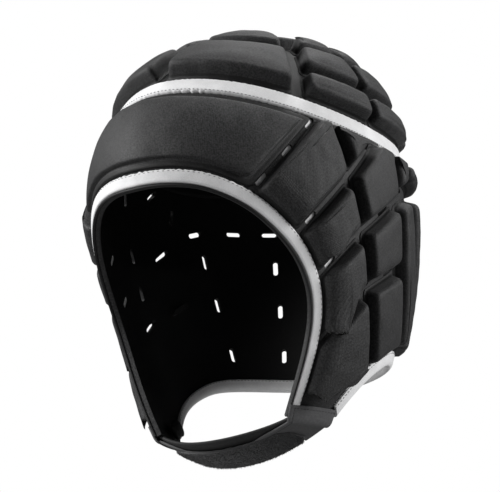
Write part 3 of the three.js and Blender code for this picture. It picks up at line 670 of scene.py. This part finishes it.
def edge_stitches(edge, start, stop, inset, height, name):
    """A row of evenly spaced stitches on each side of the cap, at an inset from an edge."""
    count = int((stop - start) * edge[2] / STITCH_STEP)
    flat = beside(edge, np.linspace(start, stop, count), inset)
    both = np.concatenate([flat, flat * [-1, 1]])
    row = band_raise(both, height)
    along = np.concatenate([frames(half) for half in (row[:count], row[count:])])
    out = outward(both[:, 0] / MM_PER_DEGREE, both[:, 1])
    return stitches(name, row, along, out, STITCH_LENGTH, STITCH_THICKNESS, SHADED_THREAD.material, "tape")


TAB_LAP, TUCK = 6, 1.5
stop = 1 - (TAB_LAP - TUCK) / FACE_EDGE[2]
section = tape_section(EDGE_WIDTH / 2, SHELL_TOP, TAPE_TOP)
section[:, 0] += EDGE_INSET + EDGE_WIDTH / 2
edge_run(FACE_EDGE, 0, stop, section, "face_binding_tape", "face_binding", 3, True)
stitch_line = EDGE_INSET + EDGE_WIDTH - STITCH_INSET
edge_stitches(FACE_EDGE, 0.003, stop, stitch_line, STITCH_HEIGHT, "face_binding_stitches")

# Rim bead: the knit turned over the edge of the face opening and sewn down. It stands beside the
# tape as a low round bead.
BEAD_RISE, BEAD_INSET, BEAD_RADIUS = 1.9, 0.1, 0.85
around = np.linspace(0, 2 * np.pi, 17)[:-1]
share = np.linspace(0, 1, 361)
flat = beside(FACE_EDGE, share[:, None], BEAD_INSET + BEAD_RADIUS * np.cos(around))
height = WALL - 0.4 + BEAD_RISE * (np.sin(around) * 0.5 + 0.5) + 0 * share[:, None]
half = band_raise(flat, height)
points = np.concatenate([half[::-1], (half * [-1, 1, 1])[1:]])
faces, corner_i, corner_j = run_faces(len(points), len(around), False)
chart = np.stack([lengths(points.mean(1))[corner_i % len(points)], corner_j * 0.4], -1)
# The bead takes the lining's darker colour: painted shade over the turned edge.
piece("face_rim_bead", points, faces, chart, [SHADED_LINING], sharp=60)

# Nape binding: the tape folded over the band's edge behind the head, sewn through near its upper
# edge, so the stitches show outside and inside.
FOLD = 2.7
straight = np.linspace(EDGE_WIDTH, 1.5, 8)
inner_leg = np.linspace(1.5, 4.4, 8)
turned = np.linspace(0, np.pi, 13)[1:-1]
middle = np.concatenate([
    np.stack([straight, np.full(8, 4.2)], -1),
    np.stack([1.5 - FOLD * np.sin(turned), 1.5 + FOLD * np.cos(turned)], -1),
    np.stack([inner_leg, np.full(8, -1.2)], -1),
])
normal = -unit(np.stack([-np.gradient(middle[:, 1]), np.gradient(middle[:, 0])], -1))
thin = np.minimum(1, 0.25 + np.minimum(np.arange(27), np.arange(27)[::-1]) * 0.5)[:, None]
section = np.concatenate([middle + normal * 0.6 * thin, (middle - normal * 1.15)[::-1]])
start = (TAB_LAP - TUCK) / NAPE_EDGE[2]
edge_run(NAPE_EDGE, start, 1, section, "nape_binding_tape", "nape_binding", 5, False)
edge_stitches(NAPE_EDGE, start, 0.997, EDGE_WIDTH - STITCH_INSET, STITCH_HEIGHT, "nape_binding_stitches")
edge_stitches(NAPE_EDGE, start, 0.997, 3.5, -1.78, "nape_lining_stitches")

# Side pads and forehead pad: blocks of foam squeezed under the knit, each filling a cell of a
# lattice of grooves. Their rims are squeezed flat, their sides are steep and their tops crowned.
# A side along the face edge slopes down to the tape instead. The lowest rings, in the grooves,
# are painted darker as painted shade.
GROOVE, REAR_GROOVE = 4, 7.5
PAD_RISE = 8.2
REAR_KNOTS = {"mid4", "mid5", "mid6", "low3"}
KNOTS = {
    "seam1": ("seam", 64.3), "seam2": ("seam", 70.5), "seam3": ("seam", 82), "seam4": ("seam", 94),
    "seam5": ("seam", 104.5), "seam6": ("seam", 117), "seam7": ("seam", 150), "seam8": ("seam", 180),
    "face1": ("face", 0.322), "face2": ("face", 0.497), "face3": ("face", 0.624),
    "face4": ("face", 0.79), "face5": ("face", 0.945),
    "nape1": ("nape", 0.1), "nape2": ("nape", 0.2), "nape3": ("nape", 0.44), "nape4": ("nape", 0.552),
    "nape5": ("nape", 0.752), "nape6": ("nape", 1),
    "mid1": (78, -0.014), "mid2": (85, 0.209), "mid3": (107.5, 0.014), "mid4": (120, -0.065),
    "mid5": (151, -0.085), "mid6": (180, -0.085),
    "low1": (91, 0.442), "low2": (112.5, 0.299), "low3": (129, 0.285),
}
RAILS = {
    "seam": lambda turn: band_draw(turn, seam_drop(turn) + TAPE_WIDTH / 2),
    "face": lambda share: beside(FACE_EDGE, share, EDGE_INSET + EDGE_WIDTH),
    "nape": lambda share: beside(NAPE_EDGE, share, EDGE_WIDTH),
}


def knot_point(name):
    """A knot's chart point: at a share or turn of its rail, or else at its turn and level."""
    first, second = KNOTS[name]
    return (RAILS[first](second) if first in RAILS else band_draw(first, drop_at(second)))[None]


def lattice_side(names):
    """The chart points of a pad's side, from knot to knot and along a rail between two of its knots."""
    found = []
    for first, second in zip(names[:-1], names[1:]):
        (rail, start), (other, stop) = KNOTS[first], KNOTS[second]
        if rail == other and rail in RAILS:
            found.append(RAILS[rail](np.linspace(start, stop, 7))[:-1])
        else:
            found.append(knot_point(first))
    return np.concatenate([*found, knot_point(names[-1])])


def inset_sides(sides, insets):
    """Four sides, each moved in by its own inset: a point goes to where its moved edges cross."""
    loop = np.concatenate([side[:-1] for side in sides])
    depth = np.concatenate([np.full(len(side) - 1, float(inset)) for side, inset in zip(sides, insets)])
    ahead = np.roll(loop, -1, 0)
    sign = np.sign(np.sum(loop[:, 0] * ahead[:, 1] - loop[:, 1] * ahead[:, 0]))
    along = unit(ahead - loop)
    inward, depth = sign * np.stack([-along[:, 1], along[:, 0]], -1), depth[:, None]
    last_inward, last_depth = np.roll(inward, 1, 0), np.roll(depth, 1, 0)
    turn = (last_inward[:, 0] * inward[:, 1] - last_inward[:, 1] * inward[:, 0])[:, None]
    level = np.abs(turn) < 0.1
    straight = (last_inward + inward) * (last_depth + depth) / 2
    straight = straight / (1 + np.sum(last_inward * inward, 1, keepdims=True))
    crossing = (last_depth * inward[:, ::-1] - depth * last_inward[:, ::-1]) * [1, -1]
    moved = loop + np.where(level, straight, crossing / np.where(level, 1, turn))
    starts = np.cumsum([0] + [len(side) - 1 for side in sides])
    return [moved[np.arange(starts[i], starts[i + 1] + 1) % len(moved)] for i in range(4)]


def spaced(points, shares):
    """Points at shares of a polyline's length."""
    length = lengths(points)
    return np.stack([np.interp(np.asarray(shares) * length[-1], length, points[:, i]) for i in (0, 1)], -1)


def side_length(side):
    """The sum of the distances between a side's points."""
    return np.linalg.norm(np.diff(side, axis=0), axis=1).sum()


def rounded_ring(sides, radius, counts):
    """A closed loop over four sides with rounded corners: a quadratic curve bends over each corner,
    and each side's points run from the middle of one bend to the middle of the next."""
    trims = [min(radius / side_length(side), 0.4) for side in sides]

    def corner_bend(i, t):
        entry = spaced(sides[i - 1], [1 - trims[i - 1]])
        leave = spaced(sides[i], [trims[i]])
        return (1 - t) ** 2 * entry + 2 * t * (1 - t) * sides[i][0] + t ** 2 * leave

    loop = []
    for i in range(4):
        t = np.linspace(0, 0.5, 6)[:, None]
        line = spaced(sides[i], np.linspace(trims[i], 1 - trims[i], 24)[1:-1])
        run = np.concatenate([corner_bend(i, t + 0.5), line, corner_bend((i + 1) % 4, t)])
        loop.append(spaced(run, np.linspace(0, 1, counts[i % 2] + 1))[:-1])
    return np.concatenate(loop)


def filled(ring, across, down):
    """A Coons grid inside a ring: the blend of its opposite sides less the blend of its corners."""
    u, v = np.linspace(0, 1, across + 1)[None, :, None], np.linspace(0, 1, down + 1)[:, None, None]
    loop = np.concatenate([ring, ring[:1]])
    top, right = loop[:across + 1], loop[across:across + down + 1]
    bottom, left = loop[across + down:2 * across + down + 1][::-1], loop[2 * across + down:][::-1]
    sides = left[:, None] * (1 - u) + right[:, None] * u + top * (1 - v) + bottom * v
    corners = (top[0] * (1 - u) + top[-1] * u) * (1 - v) + (bottom[0] * (1 - u) + bottom[-1] * u) * v
    return sides - corners


PAD_PROFILE = np.array((
    # inset past half the groove, inset of a side that slopes to the face, height as a share of the rise
    (-0.85, 0.2, -0.01), (-0.85, 0.3, 0.04), (-0.4, 0.7, 0.065), (0.1, 1.2, 0.09), (0.4, 1.7, 0.15),
    (0.75, 2.3, 0.27), (1.1, 3, 0.45), (1.45, 4, 0.63), (1.85, 6, 0.79), (2.35, 9, 0.9),
    (2.95, 11.5, 0.965), (3.7, 13.5, 1), (4.6, 15.5, 1.015),
))
PAD_CORNER = 3.2
# The count of rings from the rim that take the groove knit's painted shade.
GROOVE_SHADE_RINGS = 5


def ripple(chart, seed, amount):
    """The cloth's slight unevenness: a sum of seeded plane waves over the chart."""
    draw = np.random.default_rng(seed)
    angle, wave, phase = draw.uniform(0, np.pi, 9), draw.uniform(7, 26, 9), draw.uniform(0, 2 * np.pi, 9)
    across = chart[..., :1] * np.cos(angle) + chart[..., 1:] * np.sin(angle)
    return amount / 3 * np.sin(2 * np.pi * across / wave + phase).sum(-1)


def foam_pad(name, lift, sides, profile, rise, seed, margins=(2, 2, 2, 2), sloped=(0, 0, 0, 0),
             cell=1.4, bow=0.35, groove_shade=GROOVE_SHADE_KNIT):
    """A pad: rings from its squeezed-flat rim to its shoulder by the profile, and a Coons grid over its
    top and its underside. The top is bowed by a product of even powers and rippled. Each side
    keeps its margin, or slopes to the face by the profile's second inset. Its lowest rings take a
    darker knit as painted shade in the grooves."""
    counts = [max(8, round(max(side_length(sides[i]), side_length(sides[i + 2])) / cell)) for i in (0, 1)]
    across, down = counts
    insets = [[row[1] if s else m + row[0] for s, m in zip(sloped, margins)] for row in profile]
    rings = np.stack([rounded_ring(inset_sides(sides, inset), PAD_CORNER, counts) for inset in insets])
    height = WALL + rise * profile[:, 2]
    shoulder = (profile[:, 2] > 0.5)[:, None]
    ring_height = height[:, None] + shoulder * ripple(rings, seed, 0.1)
    total = rings.shape[1]
    top = filled(rings[-1], across, down)
    u, v = np.linspace(-1, 1, across + 1), np.linspace(-1, 1, down + 1)[:, None]
    bulge = bow * (1 - u ** 4) * (1 - v ** 4)
    top_height = height[-1] + bulge + ripple(top, seed, 0.1)
    base = filled(rings[0], across, down)
    points = np.concatenate([
        lift(rings, ring_height).reshape(-1, 3),
        lift(top, top_height)[1:-1, 1:-1].reshape(-1, 3),
        lift(base, np.full(base.shape[:2], height[0]))[1:-1, 1:-1].reshape(-1, 3),
    ])

    def numbered(first, inner):
        """The grid's point numbers: the ring's own round the rim, and new ones inside."""
        number = np.empty((down + 1, across + 1), int)
        number[0] = np.arange(across + 1)
        number[:, -1] = across + np.arange(down + 1)
        number[-1, ::-1] = across + down + np.arange(across + 1)
        number[::-1, 0] = (2 * across + down + np.arange(down + 1)) % total
        number += first
        number[1:-1, 1:-1] = inner + np.arange((down - 1) * (across - 1)).reshape(down - 1, across - 1)
        return number

    walls = grid(len(rings), total, False, True)[0]
    inner = len(rings) * total
    cells = grid(down + 1, across + 1)[0]
    top_faces = numbered(inner - total, inner).ravel()[cells]
    base_faces = numbered(0, inner + (down - 1) * (across - 1)).ravel()[cells][:, ::-1]
    faces = np.concatenate([walls, top_faces, base_faces])
    climb = np.append(0, np.cumsum(np.hypot(np.diff(profile[:, 0]), np.diff(height))))
    spread = rings[-1] + unit(rings[0] - rings[-1]) * (climb[-1] - climb)[:, None, None]
    flat = np.concatenate([
        spread.reshape(-1, 2), top[1:-1, 1:-1].reshape(-1, 2), base[1:-1, 1:-1].reshape(-1, 2),
    ])
    # The lowest rings, in the grooves, take the darker knit as painted shade.
    groove_shade_faces = np.arange(len(faces)) < GROOVE_SHADE_RINGS * total
    body = piece(name + "_foam", points, faces, flat[faces], [KNIT, groove_shade], groove_shade_faces, replaces=[name])
    return body


def mirrored(sides):
    """The sides of the pad on the other half: their first chart lengths times -1."""
    return [side * [-1, 1] for side in sides]


SIDE_PADS = (
    ("temple_pad", "seam1 seam2 mid1", "mid1 face2", "face2 face1", "face1 seam1"),
    ("wedge_pad", "seam2 seam3", "seam3 seam4", "seam4 mid1", "mid1 seam2"),
    ("upper_pad", "seam4 seam5", "seam5 mid3", "mid3 mid2", "mid2 mid1 seam4"),
    ("upper_rear_pad", "seam5 seam6", "seam6 mid4", "mid4 mid3", "mid3 seam5"),
    ("upper_nape_pad", "seam6 seam7", "seam7 mid5", "mid5 mid4", "mid4 seam6"),
    ("upper_back_pad", "seam7 seam8", "seam8 mid6", "mid6 mid5", "mid5 seam7"),
    ("cheek_pad", "mid1 mid2", "mid2 face3", "face3 face2", "face2 mid1"),
    ("ear_pad", "mid3 low2", "low2 low1", "low1 mid2", "mid2 mid3"),
    ("jaw_pad", "mid2 low1", "low1 face4", "face4 face3", "face3 mid2"),
    ("flap_pad", "face4 low1", "low1 nape2 nape1", "nape1 face5", "face5 face4"),
    ("lower_pad", "low2 nape3", "nape3 nape2", "nape2 low1", "low1 low2"),
    ("rear_pad", "mid3 mid4", "mid4 low3 nape4", "nape4 nape3", "nape3 low2 mid3"),
    ("nape_pad", "mid4 mid5", "mid5 nape5", "nape5 nape4", "nape4 low3 mid4"),
    ("back_pad", "mid5 mid6", "mid6 nape6", "nape6 nape5", "nape5 mid5"),
)
for number, (name, *texts) in enumerate(SIDE_PADS):
    names = [text.split() for text in texts]
    sides = [lattice_side(side) for side in names]
    sloped = [all(KNOTS[knot][0] == "face" for knot in side) for side in names]
    margins = [(REAR_GROOVE if REAR_KNOTS & set(side) else GROOVE) / 2 for side in names]
    for lead, shape, seed in (("left_", sides, 40 + number), ("right_", mirrored(sides), 80 + number)):
        foam_pad(lead + name, band_raise, shape, PAD_PROFILE, PAD_RISE, seed, margins, sloped)

FOREHEAD_PROFILE = np.array((
    (-0.85, 0, -0.02), (-0.85, 0, 0.1), (-0.5, 0, 0.3), (0, 0, 0.375), (0.8, 0, 0.385), (2, 0, 0.385),
    (2.9, 0, 0.375), (3.3, 0, 0.41), (3.5, 0, 0.55), (3.7, 0, 0.77), (4.05, 0, 0.93), (4.6, 0, 0.99),
    (5.8, 0, 1.02),
))
FOREHEAD_RISE = 4.2
seam = RAILS["seam"](np.linspace(0, KNOTS["seam1"][1], 13))
face = RAILS["face"](np.linspace(0, KNOTS["face1"][1], 13))
upper = np.concatenate([seam[::-1] * [-1, 1], seam[1:]])
lower = np.concatenate([face[::-1] * [-1, 1], face[1:]])
slant = np.stack([seam[-1], face[-1]])
sides = [upper, slant, lower[::-1], slant[::-1] * [-1, 1]]
foam_pad("forehead_pad", band_raise, sides, FOREHEAD_PROFILE, FOREHEAD_RISE, 7, cell=1.6, bow=0.5)

# Crown pads: taller blocks in rows between radial grooves, with a wide groove over the middle and
# a valley on each side behind the front rows. Two half rounds lie at the top.
CROWN_SECTORS = (
    # name, first and last turn, gap before and after, share of the rise, cuts on the way to the top
    ("front", 0, 58, 7, 9.5, 1.15, (0, 0.37, 0.7)),
    ("side", 58, 96, 9.5, 4, 1, (0, 0.2, 0.48, 0.72)),
    ("rear_side", 96, 136, 4, 4, 1, (0, 0.2, 0.47, 0.72)),
    ("rear", 136, 180, 4, 4, 1, (0, 0.36, 0.72)),
)
TOP_SHARE = 0.72


def crown_draw(turn, share):
    """The flat chart of the crown seen from its top, at a share of the way up from the seam tape."""
    turn, share = np.broadcast_arrays(np.asarray(turn, float), share)
    arc = mix(seam_drop(turn) - TAPE_WIDTH / 2, -CROWN_ARC, share) + CROWN_ARC
    return np.stack([arc * np.sin(np.radians(turn)), -arc * np.cos(np.radians(turn))], -1)


def crown_raise(chart, height):
    """A point of the crown's flat chart at a height off the head: its angle is the turn, and its
    distance from the chart's middle is the arc from the top."""
    turn = np.degrees(np.arctan2(chart[..., 0], -chart[..., 1]))
    return place(turn, np.hypot(chart[..., 0], chart[..., 1]) - CROWN_ARC, height)


# The lowest rings of each crown pad and of the top pads take the crown knit's painted shade.
for first, (name, start, stop, before, after, tall, cuts) in enumerate(CROWN_SECTORS):
    for k in range(1, len(cuts)):
        arcs = []
        for share in cuts[k - 1:k + 1]:
            reach = np.linalg.norm(crown_draw((start + stop) / 2, share))
            low, high = (np.degrees((gap - GROOVE) / 2 / reach) for gap in (before, after))
            arcs.append(crown_draw(np.linspace(start + low, stop - high, 7), share))
        outer, inner = arcs
        sides = [outer[::-1], np.stack([outer[0], inner[0]]), inner, np.stack([inner[-1], outer[-1]])]
        seed = 120 + 10 * first + k
        for lead, shape, more in (("left", sides, 0), ("right", mirrored(sides), 50)):
            foam_pad(
                f"{lead}_{name}_crown_pad_{k}", crown_raise, shape, PAD_PROFILE, PAD_RISE * tall,
                seed + more, bow=0.9, groove_shade=CROWN_SHADE_KNIT,
            )
arcs = [crown_draw(np.linspace(a, b, 7), TOP_SHARE) for a, b in ((0, 50), (50, 130), (130, 180))]
sides = [*arcs, np.stack([arcs[2][-1], arcs[0][0]])]
foam_pad("left_top_pad", crown_raise, sides, PAD_PROFILE, PAD_RISE, 230, groove_shade=CROWN_SHADE_KNIT)
foam_pad("right_top_pad", crown_raise, mirrored(sides), PAD_PROFILE, PAD_RISE, 231, groove_shade=CROWN_SHADE_KNIT)

# Chin strap: a soft 30 mm band in smooth stretch cloth. It hangs from flap to flap under the chin,
# as one loop that is fastened.
STRAP_WIDTH, STRAP_THICKNESS = 30, 2.4
STRAP_FRONT, STRAP_REAR = 63.5, 91
STRAP_FORWARD, STRAP_FALL, STRAP_TILT = 8, 13, 14
FINE_GAUGE = {"wale": 0.6, "course": 0.5}
STRAP_CLOTH = knit("strap_cloth", (0.006, 0.006, 0.0062), (0.019, 0.019, 0.0195), depth=0.03, **FINE_GAUGE)


def strap_end(share):
    """The strap's end at a share across it: a spot under the flap's foot, between its two turns."""
    turn = mix(STRAP_FRONT, STRAP_REAR, np.asarray(share, float))
    return place(turn, EAR_DROP + 0.3 + STRAP_THICKNESS / 4, WALL / 2)


def strap_point(sway, share):
    """The strap's middle surface: it falls from flap to flap by powers of the sway's cosine."""
    sway, share = np.broadcast_arrays(np.asarray(sway, float), np.asarray(share, float))
    end = strap_end(share)
    middle = strap_end(0.5) * [0, 1, 1] - [0, STRAP_FORWARD, STRAP_FALL]
    across = (share - 0.5) * STRAP_WIDTH
    tilt = np.radians(STRAP_TILT)
    sag = np.maximum(np.cos(np.radians(sway)), 0)
    y = mix(end[..., 1], middle[1] + across * np.cos(tilt), sag ** 2.7)
    z = mix(end[..., 2], middle[2] - across * np.sin(tilt), sag ** 2)
    return np.stack([end[..., 0] * np.sin(np.radians(sway)), y, z], -1)


def strap_spot(sway, share, height):
    """The point a height off the strap's middle surface, by the cross product of its differences."""
    safe = np.clip(sway, -86, 86)
    along = strap_point(safe + 2, share) - strap_point(safe - 2, share)
    across = strap_point(safe, share + 0.1) - strap_point(safe, share - 0.1)
    return strap_point(sway, share) + np.asarray(height)[..., None] * unit(np.cross(across, along))


def band_profile(front, rear, low, top, count=25):
    """A strap's section as shares across and heights, with round rims: top, then underside."""
    side = np.sin(np.linspace(-np.pi / 2, np.pi / 2, count))
    share = mix(front, rear, (side + 1) / 2)
    middle, half = (low + top) / 2, (top - low) / 2 * (1 - side ** 14) ** 0.5
    return np.concatenate([share, share[::-1]]), np.concatenate([middle + half, (middle - half)[::-1]])


def strap_piece(name, sway, share, height, finish, node, slot):
    """A piece of the strap: loops of the section at each sway, capped at both ends."""
    points = strap_spot(sway, share, height)
    steps = lengths(points.mean(1))[:, None]
    settings = {"sharp": 50, "replaces": [node], "slot": slot}
    return run_piece(name, points, steps, share * STRAP_WIDTH, finish, **settings)


sway = np.linspace(-90, 90, 241)[:, None]
share, height = band_profile(0, 1, -STRAP_THICKNESS / 2, STRAP_THICKNESS / 2)
share, height = np.broadcast_to(share, (241, 50)), np.broadcast_to(height, (241, 50))
strap_piece("chin_strap_cloth", sway, share, height, STRAP_CLOTH, "chin_strap", "webbing")

# Strap tabs: a grey-black cloth tongue sewn over each flap's end and the strap below it, hemmed
# along its front and top edges.
TAB_CLOTH = knit("tab_cloth", (0.062, 0.062, 0.064), (0.09, 0.09, 0.092), depth=0.04, **FINE_GAUGE)
TAB_THREAD = Finish("tab_thread", Roughness=0.7)
TAB_THREAD.paint((0.012, 0.012, 0.013, 1))
TAB_FRONT, TAB_REAR, TAB_SWAY, HEM_END = 61.5, 93, 50, 10
HEM_SHARE, HEM_SPREAD, HEM_RISE = 0.045, 0.03, 0.35
TAB_TOP, TAB_REACH = 1.5, 36
TAB_STITCH_LENGTH, TAB_STITCH_THICKNESS = 1.4, 0.4


def tab_point(side, step, share, height):
    """The tab's surface: over the flap for the first steps, then along the strap. Its end is cut
    slantwise: the front edge runs on under the pile patch as a narrowing hem."""
    over = place(side * mix(TAB_FRONT, TAB_REAR, share), EAR_DROP - TAB_LAP + step, WALL + 0.5 + height)
    far = np.clip((step - 12) / (TAB_REACH - 12), 0, 1)
    front = 0.3 * far ** 1.4
    across = mix(front, 1, share)
    sway = mix(80.0, mix(HEM_END, TAB_SWAY, np.clip((across - 0.1) / 0.5, 0, 1)), far)
    under = strap_spot(side * sway, across, STRAP_THICKNESS / 2 + 0.1 + height * (1 - 0.35 * far))
    weight = np.clip((step - TAB_LAP) / 6, 0, 1)
    weight = (3 * weight ** 2 - 2 * weight ** 3)[..., None]
    return over * (1 - weight) + under * weight


def tab_stitches(name, hem, out):
    """A row of the tab's stitches along a hem line."""
    size = TAB_STITCH_LENGTH, TAB_STITCH_THICKNESS
    stitches(name, hem, frames(hem), out, *size, TAB_THREAD.material, "cloth")


share, height = band_profile(0, 1, 0, TAB_TOP)
height = height + np.where(height > 0.8, HEM_RISE * np.exp(-((share - HEM_SHARE) / HEM_SPREAD) ** 2), 0)
steps = np.linspace(0, TAB_REACH, 109)[:, None]
for side, name in ((1, "left_strap_tab"), (-1, "right_strap_tab")):
    points = tab_point(side, *np.broadcast_arrays(steps, share, height))
    run_piece(name + "_cloth", points, steps, share * STRAP_WIDTH, TAB_CLOTH, sharp=50, replaces=[name])
    across = np.linspace(0.04, 0.96, 15)
    hem = tab_point(side, np.full(15, 1.5), across, np.full(15, TAB_TOP))
    out = outward(side * mix(TAB_FRONT, TAB_REAR, across), np.full(15, EAR_DROP - TAB_LAP + 1.5))
    tab_stitches(name + "_top_stitches", hem, out)
    down = np.linspace(2.5, 34, 26)
    hem = tab_point(side, down, np.full(26, 0.1), np.full(26, TAB_TOP))
    inside = tab_point(side, down, np.full(26, 0.1), np.full(26, 0.5))
    tab_stitches(name + "_front_stitches", hem, unit(hem - inside))

# Strap folds: the strap's ends are turned up inside each flap, at its rear corner, and sewn to the
# lining as a soft dark roll.
ROLL_START, ROLL_STOP, ROLL_HALF_WIDTH, ROLL_HALF_HEIGHT = 79, 93.5, 5.5, 2.6
along = np.linspace(0, 1, 41)[:, None]
around = np.linspace(0, 2 * np.pi, 25)[:-1]
girth = np.sqrt(np.sin(np.pi * np.clip(along, 0.004, 0.996)))
drop = EAR_DROP - 4.5 + ROLL_HALF_WIDTH * girth * np.cos(around) + 1.2 * np.sin(7 * along)
height = -3.2 + ROLL_HALF_HEIGHT * girth * np.sin(around)
for side, name in ((1, "left_strap_fold"), (-1, "right_strap_fold")):
    points = place(side * mix(ROLL_START, ROLL_STOP, along), drop, height)
    steps, girths = 0.5 * np.arange(41)[:, None], 1.2 * np.arange(24)
    run_piece(name, points, steps, girths, STRAP_CLOTH, slot="webbing")

# Pile patch: the fuzzy half of the touch fastener, sewn along the rear of the strap's outside. Its
# ends are clipped, and short tufts stand on it.
PILE = Finish("black_pile", Roughness=1.0, Sheen_Weight=0.3)
tufted = PILE.noise(900, 3)
PILE.paint(PILE.blend(tufted, (0.012, 0.012, 0.013), (0.04, 0.04, 0.042)))
PILE.relief(tufted, 0.4)
PILE_FRONT, PILE_REAR, PILE_START, PILE_END = 0.24, 0.96, -46, 55
PILE_LOW, PILE_TOP = STRAP_THICKNESS / 2 + 0.2, STRAP_THICKNESS / 2 + 2.5


def pile_bounds(sway):
    """The patch's front and rear shares: clipped over the last degrees before its near end, and
    drawn in over a longer way before its far end."""
    near = 0.14 * np.clip((sway - PILE_END + 7) / 7, 0, 1)
    far = np.clip((PILE_START + 22 - sway) / 22, 0, 1) ** 2
    return PILE_FRONT + near + 0.1 * far, PILE_REAR - near - 0.3 * far


sway = np.linspace(PILE_START, PILE_END, 181)[:, None]
front, rear = pile_bounds(sway)
unit_share, height = band_profile(0, 1, PILE_LOW, PILE_TOP - 0.3)
share = mix(front, rear, unit_share)
strap_piece("pile_patch_base", sway, share, height, PILE.material, "pile_patch", "pile")
draw = np.random.default_rng(11)
TUFTS, FIBRE_WIDTH = 8000, 0.13
tuft_sway = draw.uniform(PILE_START + 0.5, PILE_END - 0.5, TUFTS)
front, rear = pile_bounds(tuft_sway)
tuft_share = mix(front + 0.01, rear - 0.02, draw.uniform(0, 1, TUFTS))
root = strap_spot(tuft_sway, tuft_share, np.full(TUFTS, PILE_TOP - 0.55))
tip = strap_spot(tuft_sway, tuft_share, PILE_TOP + draw.uniform(-0.15, 0.2, TUFTS))
tip += draw.normal(0, 0.2, (TUFTS, 3))
rise = unit(tip - root)
side = unit(np.cross(rise, unit(draw.normal(0, 1, (TUFTS, 3)))))
other = np.cross(rise, side)
around = np.radians([45, 135, 225, 315])
ring = FIBRE_WIDTH * (np.cos(around)[:, None] * side[:, None] + np.sin(around)[:, None] * other[:, None])
tufts = np.stack([root[:, None] + ring, tip[:, None] + 0.35 * ring], 1)
faces = copied(run_faces(2, 4, False)[0], TUFTS, 8)
piece("pile_patch_tufts", tufts, faces, None, [PILE.material], slot="pile")
